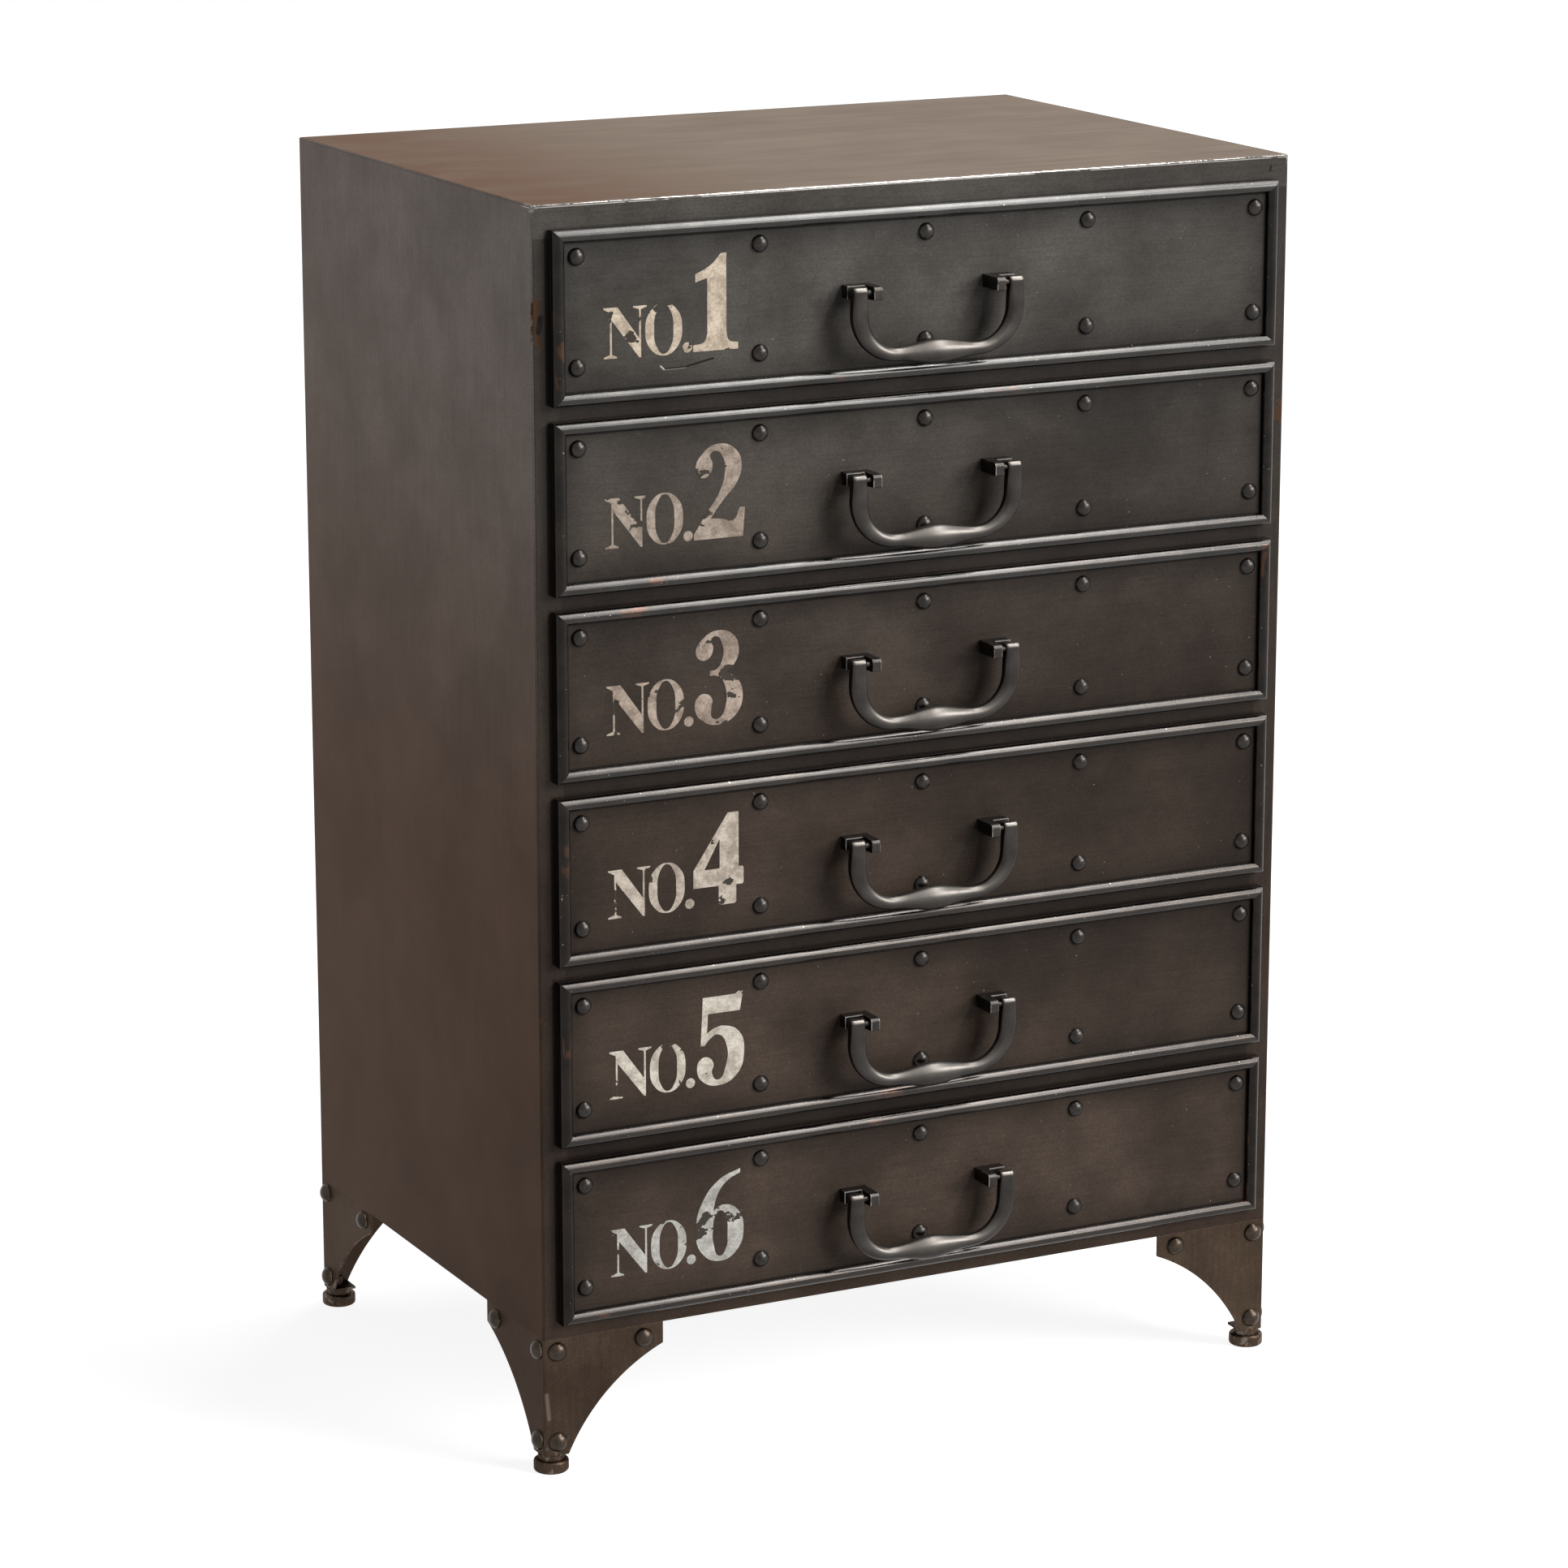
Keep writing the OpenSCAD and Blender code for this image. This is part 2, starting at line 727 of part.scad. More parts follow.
module bail_bar() {
    count = len(bail_rings);
    points = [for (g = bail_rings) for (p = ring_points(g)) p];
    sides = [
        for (k = [0 : count - 2]) for (i = [0 : bar_sections - 1]) let (
            j = (i + 1) % bar_sections,
            a = k * bar_sections,
            b = a + bar_sections
        ) [a + i, a + j, b + j, b + i]
    ];
    first_end = [for (i = [bar_sections - 1 : -1 : 0]) i];
    last_end = [for (i = [0 : bar_sections - 1]) (count - 1) * bar_sections + i];
    polyhedron(points, concat(sides, [first_end, last_end]));
}

module drawer_handle(n) {
    color("#5f5c58")
        translate([0, pivot_y, pivot_z(n)])
            difference() {
                union() {
                    bail_bar();
                    cylinder_x(arm_in, arm_in + arm_w, 0, 0, eye_d / 2);
                    cylinder_x(-arm_in - arm_w, -arm_in, 0, 0, eye_d / 2);
                }
                cylinder_x(arm_in - cut, arm_in + arm_w - eye_wall, 0, 0, pin_d / 2 + pin_clear);
                cylinder_x(eye_wall - arm_in - arm_w, cut - arm_in, 0, 0, pin_d / 2 + pin_clear);
            }
}

module drawer_piece(n, piece) {
    if (piece == "tray") drawer_tray(n);
    if (piece == "front") drawer_front(n);
    if (piece == "bead") drawer_bead(n);
    if (piece == "rivets") drawer_rivets(n);
    if (piece == "brackets") drawer_brackets(n);
    if (piece == "pins") drawer_pins(n);
    if (piece == "handle") drawer_handle(n);
}

placed() top_panel();
placed() left_side_panel();
placed() right_side_panel();
placed() back_panel();
placed() bottom_panel();
placed() front_rails();
placed() left_runners();
placed() right_runners();
placed() drawer_guides();
placed() leg_at(0, 0);  // front_left_leg
placed() leg_at(1, 0);  // front_right_leg
placed() leg_at(0, 1);  // back_left_leg
placed() leg_at(1, 1);  // back_right_leg
placed() leg_rivets();
placed() foot_at(0, 0);  // front_left_foot
placed() foot_at(1, 0);  // front_right_foot
placed() foot_at(0, 1);  // back_left_foot
placed() foot_at(1, 1);  // back_right_foot
for (n = [1 : drawer_count])
    for (piece = DRAWER_PIECES)
        placed() drawer_piece(n, piece);
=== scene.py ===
"""Six drawer sheet steel cabinet: its finishes, rubbed edges, cast handles and painted numbers."""
import json
import math

import bmesh
import bpy
from mathutils import Matrix, Vector


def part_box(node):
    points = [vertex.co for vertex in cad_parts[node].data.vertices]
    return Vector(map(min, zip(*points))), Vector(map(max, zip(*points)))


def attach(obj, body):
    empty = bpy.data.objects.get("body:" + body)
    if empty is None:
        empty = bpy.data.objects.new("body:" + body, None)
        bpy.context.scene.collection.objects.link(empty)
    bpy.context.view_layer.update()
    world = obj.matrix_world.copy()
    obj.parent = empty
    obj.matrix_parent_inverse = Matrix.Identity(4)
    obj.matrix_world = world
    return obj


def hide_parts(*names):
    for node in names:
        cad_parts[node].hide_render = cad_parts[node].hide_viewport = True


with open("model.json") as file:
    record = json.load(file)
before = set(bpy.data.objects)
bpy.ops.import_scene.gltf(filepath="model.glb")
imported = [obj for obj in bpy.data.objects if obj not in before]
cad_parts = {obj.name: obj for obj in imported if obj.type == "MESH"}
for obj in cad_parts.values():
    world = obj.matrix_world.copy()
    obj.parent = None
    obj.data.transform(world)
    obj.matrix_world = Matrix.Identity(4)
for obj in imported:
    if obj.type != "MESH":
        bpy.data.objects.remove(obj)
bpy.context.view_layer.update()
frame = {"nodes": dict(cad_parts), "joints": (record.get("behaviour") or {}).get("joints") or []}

MM = 0.001
DRAWERS = range(1, 7)
LOWEST = DRAWERS[-1]

# ---- Places, read from the frame ----

case_low = Vector((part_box("left_side_panel")[0].x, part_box("top_panel")[0].y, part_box("bottom_panel")[0].z))
case_high = Vector((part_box("right_side_panel")[1].x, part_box("top_panel")[1].y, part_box("top_panel")[1].z))
front_boxes = {n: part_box(f"drawer_{n}_front") for n in DRAWERS}
front_low, front_high = front_boxes[1]
panel_y = front_low.y
front_h = front_high.z - front_low.z
drawer_pitch = front_high.z - front_boxes[2][1].z
pivots = {j["child"]: Vector(j["pos_m"]) for j in frame["joints"] if j["type"] == "hinge"}

# ---- Sizes of what is shaped here, in millimetres ----

BEAD_W = 9
EDGE_ROUNDING = 0.5
BORE_REACH = 2.5
RIVET_END, RIVET_PITCH, RIVET_DROP, RIVET_RISE = 18.5, 130, 19, 26
LEG_RIVET_DROP, LEG_RIVET_NEAR, LEG_RIVET_FAR, LEG_RIVET_RISE = 9.5, 10.5, 15.5, 10.5
TAIL_H, TAIL_OVER = 1.5, 2.0
WORN_RIM_H, WORN_RIM_SHARE = 0.6, 0.88
RIVET_SIDES = 28
PAINT_T = 0.12

# Each rivet: radius and height of its head, radius of its shank, and thickness of what it holds
FRONT_RIVET = (6.3, 4.4, 2.5, 1.8)
LEG_RIVET = (7.25, 5.0, 3.0, 2.0)

# The bail's middle line, its width, thickness and squareness from the arm down to the grip, and the
# height, width and thickness of the rings that round the arm's top over
BAIL_W, BAIL_DROP, BAIL_CORNER_R = 123.6, 44.8, 29.5
ARM, SHOULDER, NECK, GRIP = (11, 7, 6), (13, 8, 3.4), (9.8, 8.6, 2), (18.2, 14.5, 2)
ARM_TOP = ((4.1, 10, 1.4), (3.9, 10.6, 3.6), (3.2, 11, 5.4), (2.2, 11, 6.4), (0.8, 11, 7))
ARM_RINGS, BEND_RINGS, GRIP_RINGS = 6, 16, 14
BAIL_SIDES = 28

# ---- Nodes and colours ----

MATH, VECTOR, MIX, RANGE = "ShaderNodeMath", "ShaderNodeVectorMath", "ShaderNodeMix", "ShaderNodeMapRange"


def srgb(hex_colour):
    """A linear colour from an sRGB hex value."""
    channels = [int(hex_colour[i:i + 2], 16) / 255 for i in (1, 3, 5)]
    return tuple(c / 12.92 if c <= 0.04045 else ((c + 0.055) / 1.055) ** 2.4 for c in channels) + (1.0,)


def add_node(tree, kind, inputs=None, output=0, **settings):
    """Adds a node with its settings and links, and returns one of its outputs."""
    made = tree.nodes.new(kind)
    for name, value in settings.items():
        setattr(made, name, value)
    for socket, value in (inputs or {}).items():
        if isinstance(value, bpy.types.NodeSocket):
            tree.links.new(value, made.inputs[socket])
        else:
            made.inputs[socket].default_value = value
    return made.outputs[output]


def start_finish(name):
    """A new material, its node tree and its Principled shader."""
    material = bpy.data.materials.new(name)
    material.use_nodes = True
    return material, material.node_tree, material.node_tree.nodes["Principled BSDF"]


def place_axes(tree):
    """The three coordinates of a point on the surface, in metres, in the cabinet's own frame."""
    place = add_node(tree, "ShaderNodeTexCoord", output="Object")
    return list(add_node(tree, "ShaderNodeSeparateXYZ", {0: place}).node.outputs)


def grain(tree, size, detail=2.0, roughness=0.5, shift=(0, 0, 0)):
    """Noise from 0 to 1 whose features are about size millimetres long on X, Y and Z."""
    place = add_node(tree, "ShaderNodeTexCoord", output="Object")
    scale = [1 / (length * MM) for length in size]
    spot = add_node(tree, "ShaderNodeMapping", {"Vector": place, "Location": shift, "Scale": scale})
    settings = {"Vector": spot, "Scale": 1.0, "Detail": detail, "Roughness": roughness}
    return add_node(tree, "ShaderNodeTexNoise", settings)


def ramp(tree, value, low, high, to_low=0.0, to_high=1.0):
    """A smooth step of value, from to_low at low to to_high at high."""
    ends = {"Value": value, "From Min": low, "From Max": high, "To Min": to_low, "To Max": to_high}
    return add_node(tree, RANGE, ends, interpolation_type="SMOOTHSTEP")


def edge_gap(tree, low, high, height=None):
    """How far a point on a box's face is from the box's nearest edge, in metres."""
    axes = place_axes(tree)
    if height is not None:
        axes[2] = height
    gaps = []
    for coordinate, a, b in zip(axes, low, high):
        off = add_node(tree, MATH, {0: coordinate, 1: (a + b) / 2}, operation="SUBTRACT")
        off = add_node(tree, MATH, {0: off}, operation="ABSOLUTE")
        gaps.append(add_node(tree, MATH, {0: (b - a) / 2, 1: off}, operation="SUBTRACT"))
    small = add_node(tree, MATH, {0: gaps[0], 1: gaps[1]}, operation="MINIMUM")
    large = add_node(tree, MATH, {0: gaps[0], 1: gaps[1]}, operation="MAXIMUM")
    last = add_node(tree, MATH, {0: large, 1: gaps[2]}, operation="MINIMUM")
    return add_node(tree, MATH, {0: small, 1: last}, operation="MAXIMUM")


def stroke(tree, start, end, reach):
    """1 on the line between two points, given in millimetres, falling to 0 at reach from it."""
    place = add_node(tree, "ShaderNodeTexCoord", output="Object")
    begin, along = Vector(start) * MM, (Vector(end) - Vector(start)) * MM
    off = add_node(tree, VECTOR, {0: place, 1: begin}, operation="SUBTRACT")
    share = {0: off, 1: along / along.length_squared}
    covered = add_node(tree, VECTOR, share, output=1, operation="DOT_PRODUCT")
    covered = add_node(tree, "ShaderNodeClamp", {0: covered})
    nearest = add_node(tree, VECTOR, {0: along, "Scale": covered}, operation="SCALE")
    away = add_node(tree, VECTOR, {0: off, 1: nearest}, output=1, operation="DISTANCE")
    return ramp(tree, away, 0.3 * reach * MM, reach * MM, 1.0, 0.0)


def drawer_height(tree):
    """Height in the lowest drawer front's own span, the same for every drawer."""
    z = place_axes(tree)[2]
    bottom = front_boxes[LOWEST][0].z
    above = add_node(tree, MATH, {0: z, 1: bottom}, operation="SUBTRACT")
    within = add_node(tree, MATH, {0: above, 1: drawer_pitch}, operation="FLOORED_MODULO")
    return add_node(tree, MATH, {0: within, 1: bottom}, operation="ADD")


def tint(tree, factor, low, high):
    """A colour between two, by factor. Each end is a hex value or another node's colour."""
    ends = [srgb(c) if isinstance(c, str) else c for c in (low, high)]
    return add_node(tree, MIX, {0: factor, 6: ends[0], 7: ends[1]}, output=2, data_type="RGBA")


def darken(tree, colour, factor):
    """A colour multiplied by a factor from 0 to about 1.3."""
    grey = add_node(tree, "ShaderNodeCombineColor", {0: factor, 1: factor, 2: factor})
    settings = {"data_type": "RGBA", "blend_type": "MULTIPLY", "clamp_result": False}
    return add_node(tree, MIX, {0: 1.0, 6: colour, 7: grey}, output=2, **settings)


def relief(tree, shader, height, depth_mm, normal=None):
    """Links a bump of the given depth, in millimetres, into the shader and returns its normal."""
    inputs = {"Height": height, "Distance": depth_mm * MM, "Strength": 1.0}
    if normal is not None:
        inputs["Normal"] = normal
    bumped = add_node(tree, "ShaderNodeBump", inputs)
    tree.links.new(bumped, shader.inputs["Normal"])
    return bumped


# ---- Finishes ----

FRONT_Y, CASE_Y = panel_y / MM, case_low.y / MM

# Marks with a place of their own: start, end and reach in millimetres, and for some a tone or a factor
SCRATCHES = [((-203, FRONT_Y, 790.7), (-187, FRONT_Y, 791), 0.7, "#625E5A"),
             ((-203, FRONT_Y, 791.5), (-186, FRONT_Y, 791.8), 0.7, "#1A1715"),
             ((-186, FRONT_Y, 792), (-166, FRONT_Y, 796), 1.1, "#151210"),
             ((-206, FRONT_Y, 793.4), (-203.6, FRONT_Y, 791.2), 0.9, "#A09B94")]
UNEVEN = [((170, FRONT_Y, 390), (170, FRONT_Y, 680), 230, 0.72),
          ((-60, FRONT_Y, 172), (60, FRONT_Y, 172), 260, 1.16),
          ((-60, FRONT_Y, 832), (60, FRONT_Y, 832), 190, 1.14)]
# Dark strokes at two knocks: painted shade of the dents, which have no relief
KNOCK_SHADES = [((285, CASE_Y, 901), (284.5, CASE_Y, 898), 1.4, "#1D1816"),
          ((-295, CASE_Y, 823), (-293.5, CASE_Y, 832), 3.2, "#171412")]
# A pale stroke along the front left leg's crease: a painted highlight
CREASE_HIGHLIGHTS = [((-298, CASE_Y, 60), (-296.4, CASE_Y, 42), 2.2)]
RUST = [((-297, CASE_Y, 812), (-297, CASE_Y, 842), 5.5),
        ((296, CASE_Y, 717), (296, CASE_Y, 726), 5.5)]

# Ends of a ramp that spreads a noise over most of its range
CLOUDY = (0.3, 0.7)

# Bright rubbed lines of the case, in millimetres from its edges, and how far rust creeps from them
RUBBED_REACH = 0.9
FOLD_LINE, FOLD_LINE_HALF_W = 1.9, 0.3
RUST_FULL, RUST_END = 2, 11


def patinated_sheet(name, high_tones, low_tones, heights, brush, add_wear, metal, gleam):
    """Steel sheet, chemically darkened and brushed, then lacquered, waxed or left bare. It gives the eye
    a dark metal, greyer above and browner below, with fine directional lines and cloudy patches. On the
    case's sides the lower tones are also much darker, and that darkening is painted shade."""
    material, tree, shader = start_finish(name)
    clouds = ramp(tree, grain(tree, (95, 95, 95), detail=4, roughness=0.6), 0.32, 0.68)
    upper = tint(tree, clouds, *high_tones)
    lower = tint(tree, clouds, *low_tones)
    colour = tint(tree, ramp(tree, place_axes(tree)[2], *heights), lower, upper)
    lines = grain(tree, brush, detail=3, roughness=0.65)
    colour = darken(tree, colour, ramp(tree, lines, 0.25, 0.75, 0.88, 1.12))
    pores = grain(tree, (1.3, 1.3, 1.3), detail=2, roughness=0.6, shift=(6, 6, 1))
    colour = darken(tree, colour, ramp(tree, pores, *CLOUDY, 0.86, 1.14))
    smears = grain(tree, (38, 38, 30), detail=4, roughness=0.6, shift=(3, 1, 2))
    colour = darken(tree, colour, ramp(tree, smears, *CLOUDY, 0.93, 1.06))
    gloss = ramp(tree, smears, *CLOUDY, 0.38, 0.46)
    colour, gloss = add_wear(tree, colour, gloss)
    tree.links.new(colour, shader.inputs["Base Color"])
    tree.links.new(gloss, shader.inputs["Roughness"])
    shader.inputs["Metallic"].default_value = metal
    gleam_tone, gleam_level = gleam
    shader.inputs["Specular Tint"].default_value = srgb(gleam_tone)
    shader.inputs["Specular IOR Level"].default_value = gleam_level
    shader.inputs["Coat Weight"].default_value = 0.05
    shader.inputs["Coat Roughness"].default_value = 0.3
    waves = grain(tree, (140, 140, 120), detail=1, shift=(1, 5, 2))
    dished = relief(tree, shader, waves, 0.5)
    relief(tree, shader, lines, 0.004, dished)
    return material


def case_wear(tree, colour, gloss):
    """Folded edges rubbed to bright steel in broken lines, most of all along the top's front fold, with
    rust where the lacquer has gone, and dark strokes that are painted shade in two knocked dents."""
    gap = edge_gap(tree, case_low, case_high)
    _, y, z = place_axes(tree)
    exposed = ramp(tree, z, case_high.z - 6 * MM, case_high.z - 4 * MM, 0.3, 1.0)
    in_front = ramp(tree, y, case_low.y + 3 * MM, case_low.y + 30 * MM, 1.0, 0.25)
    exposed = add_node(tree, MATH, {0: exposed, 1: in_front}, operation="MULTIPLY")
    above_legs = ramp(tree, z, case_low.z + 2 * MM, case_low.z + 10 * MM)
    exposed = add_node(tree, MATH, {0: exposed, 1: above_legs}, operation="MULTIPLY")

    ragged = grain(tree, (16, 16, 16), detail=6, roughness=0.75, shift=(2, 2, 2))
    reach = ramp(tree, ragged, 0.3, 0.55, 0.0, RUBBED_REACH * MM)
    reach = add_node(tree, MATH, {0: reach, 1: exposed}, operation="MULTIPLY")
    rubbed = add_node(tree, MATH, {0: gap, 1: reach}, operation="LESS_THAN")
    line = {0: gap, 1: FOLD_LINE * MM, 2: FOLD_LINE_HALF_W * MM}
    fold_line = add_node(tree, MATH, line, operation="COMPARE")
    long_runs = ramp(tree, grain(tree, (70, 70, 70), detail=4, roughness=0.7, shift=(4, 1, 1)), 0.42, 0.44)
    fold_line = add_node(tree, MATH, {0: fold_line, 1: long_runs}, operation="MULTIPLY")
    most_exposed = ramp(tree, exposed, 0.6, 0.9)
    fold_line = add_node(tree, MATH, {0: fold_line, 1: most_exposed}, operation="MULTIPLY")
    rubbed = add_node(tree, MATH, {0: rubbed, 1: fold_line}, operation="MAXIMUM")
    colour = tint(tree, rubbed, colour, "#9C9791")

    patchy = ramp(tree, grain(tree, (22, 22, 34), detail=5, roughness=0.7, shift=(7, 1, 4)), 0.66, 0.76)
    creeping = ramp(tree, gap, RUST_FULL * MM, RUST_END * MM, 1.0, 0.0)
    rust = add_node(tree, MATH, {0: patchy, 1: creeping}, operation="MULTIPLY")
    flaky = ramp(tree, grain(tree, (6, 6, 9), detail=5, roughness=0.7, shift=(1, 6, 4)), 0.44, 0.54)
    for start, end, width in RUST:
        spot = add_node(tree, MATH, {0: stroke(tree, start, end, width), 1: flaky}, operation="MULTIPLY")
        rust = add_node(tree, MATH, {0: rust, 1: spot}, operation="MAXIMUM")
    colour = tint(tree, rust, colour, "#493324")
    # Painted shade of the knocked dents
    for start, end, width, tone in KNOCK_SHADES:
        colour = tint(tree, stroke(tree, start, end, width), colour, tone)
    gloss = add_node(tree, MATH, {0: gloss, 1: 0.3, 2: rust}, operation="MULTIPLY_ADD")
    return colour, gloss


def front_wear(tree, colour, gloss):
    """Dust and old lacquer with painted shade, gathered dark along the bead's inner edge, a dark line of dirt
    and painted shadow right next to the bead, broad darker and lighter patches, a few pale specks and the
    scratches.
    """
    gap = edge_gap(tree, *front_boxes[LOWEST], drawer_height(tree))
    # Darker near the bead: partly dust, partly painted shade from the bead, darkest in a line of dirt and
    # painted shadow at its edge
    dust_and_shade_by_bead = ramp(tree, gap, (BEAD_W - 4) * MM, (BEAD_W + 24) * MM, 0.6, 1.0)
    dirt_and_shadow_line = ramp(tree, gap, (BEAD_W + 0.3) * MM, (BEAD_W + 1.6) * MM, 0.4, 1.0)
    dust_and_shade_by_bead = add_node(tree, MATH, {0: dust_and_shade_by_bead, 1: dirt_and_shadow_line}, operation="MULTIPLY")
    colour = darken(tree, colour, dust_and_shade_by_bead)
    for start, end, reach, factor in UNEVEN:
        colour = darken(tree, colour, ramp(tree, stroke(tree, start, end, reach), 0.0, 1.0, 1.0, factor))
    specks = grain(tree, (2.2, 2.2, 2.2), detail=1, shift=(5, 5, 5))
    colour = tint(tree, ramp(tree, specks, 0.79, 0.83), colour, "#77736C")
    for start, end, reach, tone in SCRATCHES:
        colour = tint(tree, stroke(tree, start, end, reach), colour, tone)
    return colour, gloss


def folded_wear(tree, colour, gloss):
    """Rounded edges of a heavy folded plate, rubbed in short broken lengths and scuffed low down, with a
    painted highlight along a crease on the front left leg.
    """
    wear = add_node(tree, "ShaderNodeAttribute", output="Fac", attribute_name="wear")
    patchy = ramp(tree, grain(tree, (9, 9, 9), detail=5, roughness=0.7, shift=(1, 0, 6)), 0.5, 0.62)
    rubbed = add_node(tree, MATH, {0: wear, 1: patchy}, operation="MULTIPLY")
    z = place_axes(tree)[2]
    below_case = ramp(tree, z, case_low.z - 4 * MM, case_low.z - 1 * MM, 1.0, 0.0)
    rubbed = add_node(tree, MATH, {0: rubbed, 1: below_case}, operation="MULTIPLY")
    scuffed = ramp(tree, z, 4 * MM, 32 * MM, 0.5, 0.0)
    scuffed = add_node(tree, MATH, {0: scuffed, 1: patchy}, operation="MULTIPLY")
    rubbed = add_node(tree, MATH, {0: rubbed, 1: scuffed}, operation="MAXIMUM")
    colour = tint(tree, rubbed, colour, "#8A8078")
    # Painted highlight along the leg's crease
    for start, end, reach in CREASE_HIGHLIGHTS:
        colour = tint(tree, stroke(tree, start, end, reach), colour, "#584F47")
    return colour, gloss


def top_face(tree, colour, gloss):
    """The flat top, waxed over paler brown steel that is redder to the left, with streaks along it."""
    streaks = grain(tree, (160, 2.6, 8), detail=4, roughness=0.6, shift=(3, 3, 3))
    brown = tint(tree, ramp(tree, streaks, *CLOUDY), "#716459", "#7A6E64")
    clouds = grain(tree, (110, 60, 90), detail=3, roughness=0.6, shift=(9, 3, 3))
    brown = darken(tree, brown, ramp(tree, clouds, *CLOUDY, 0.9, 1.07))
    redder = ramp(tree, place_axes(tree)[0], case_low.x, case_low.x + 260 * MM, 1.0, 0.0)
    uneven = ramp(tree, clouds, 0.25, 0.6, 0.5, 1.0)
    redder = add_node(tree, MATH, {0: redder, 1: uneven}, operation="MULTIPLY")
    brown = tint(tree, redder, brown, "#624D40")
    return case_wear(tree, brown, gloss)


def rubbed_bead(name, high_tones, low_tones, coat):
    """Half-round trim of the same dark steel, polished by hands and rags. It gives the eye a soft bright
    line along its crest with nicks, and copper-coloured patches where the patina has worn through."""
    material, tree, shader = start_finish(name)
    clouds = ramp(tree, grain(tree, (34, 20, 20), detail=4, roughness=0.6), *CLOUDY)
    high = tint(tree, clouds, *high_tones)
    low = tint(tree, clouds, *low_tones)
    # Lighter towards the top of the cabinet: painted light, for light that falls off lower down
    colour = tint(tree, ramp(tree, place_axes(tree)[2], 0.3, 0.88), low, high)
    patches = ramp(tree, grain(tree, (60, 12, 60), detail=5, roughness=0.6, shift=(6, 2, 1)), 0.62, 0.68)
    colour = tint(tree, patches, colour, "#3A2417")
    nicks = ramp(tree, grain(tree, (2.6, 2.6, 2.6), detail=1, shift=(4, 4, 1)), 0.76, 0.79)
    colour = tint(tree, nicks, colour, "#2A2724")
    flakes = ramp(tree, grain(tree, (1.9, 1.9, 1.9), detail=1, shift=(8, 1, 7)), 0.77, 0.8)
    colour = tint(tree, flakes, colour, "#8C857C")
    tree.links.new(colour, shader.inputs["Base Color"])
    worn = grain(tree, (18, 6, 18), detail=4, roughness=0.6, shift=(1, 2, 3))
    gloss = ramp(tree, worn, *CLOUDY, 0.23, 0.33)
    tree.links.new(gloss, shader.inputs["Roughness"])
    tree.links.new(ramp(tree, patches, 0.0, 1.0, 1.0, 0.85), shader.inputs["Metallic"])
    shader.inputs["Coat Weight"].default_value = coat
    shader.inputs["Coat Roughness"].default_value = 0.2
    dents = grain(tree, (26, 26, 26), detail=2, shift=(2, 8, 2))
    hammered = relief(tree, shader, dents, 0.05)
    relief(tree, shader, nicks, -0.15, hammered)
    return material


def cast_iron_finish(name, tones, worn_and_highlight_tone, patchiness):
    """Sand-cast iron under dark patina. It gives the eye a fine pebbled skin, rubbed paler in places; on the
    handle the paler upper faces are partly a painted highlight.
    """
    material, tree, shader = start_finish(name)
    clouds = ramp(tree, grain(tree, (16, 16, 16), detail=4, roughness=0.6), *CLOUDY)
    colour = tint(tree, clouds, *tones)
    wear = add_node(tree, "ShaderNodeAttribute", output="Fac", attribute_name="wear")
    patchy = ramp(tree, grain(tree, (9, 9, 9), detail=3, roughness=0.5, shift=(3, 0, 3)), *patchiness)
    rubbed = add_node(tree, MATH, {0: wear, 1: patchy}, operation="MULTIPLY")
    # On the handle this paler tone is partly a painted highlight on the upper faces
    colour = tint(tree, rubbed, colour, worn_and_highlight_tone)
    gloss = ramp(tree, rubbed, 0.0, 1.0, 0.38, 0.34)
    tree.links.new(colour, shader.inputs["Base Color"])
    tree.links.new(gloss, shader.inputs["Roughness"])
    shader.inputs["Metallic"].default_value = 1.0
    shader.inputs["Coat Weight"].default_value = 0.2
    shader.inputs["Coat Roughness"].default_value = 0.3
    sand = grain(tree, (1.6, 1.6, 1.6), detail=3, roughness=0.6)
    skin = relief(tree, shader, sand, 0.012)
    lumps = grain(tree, (14, 14, 14), detail=2, shift=(4, 1, 0))
    relief(tree, shader, lumps, 0.08, skin)
    return material


def rivet_steel(name, tones, coat, rim_tone):
    """Dark set rivet heads. Each gives the eye a glossy dome, with pale spots where it meets the sheet."""
    material, tree, shader = start_finish(name)
    clouds = ramp(tree, grain(tree, (5, 5, 5), detail=3), *CLOUDY)
    colour = tint(tree, clouds, *tones)
    wear = add_node(tree, "ShaderNodeAttribute", output="Fac", attribute_name="wear")
    patchy = ramp(tree, grain(tree, (5, 5, 5), detail=3, roughness=0.6, shift=(3, 0, 3)), 0.45, 0.6)
    rubbed = add_node(tree, MATH, {0: wear, 1: patchy}, operation="MULTIPLY")
    colour = tint(tree, rubbed, colour, rim_tone)
    tree.links.new(colour, shader.inputs["Base Color"])
    shader.inputs["Roughness"].default_value = 0.36
    shader.inputs["Metallic"].default_value = 1.0
    shader.inputs["Coat Weight"].default_value = coat
    shader.inputs["Coat Roughness"].default_value = 0.22
    relief(tree, shader, grain(tree, (2.5, 2.5, 2.5), detail=2), 0.05)
    return material


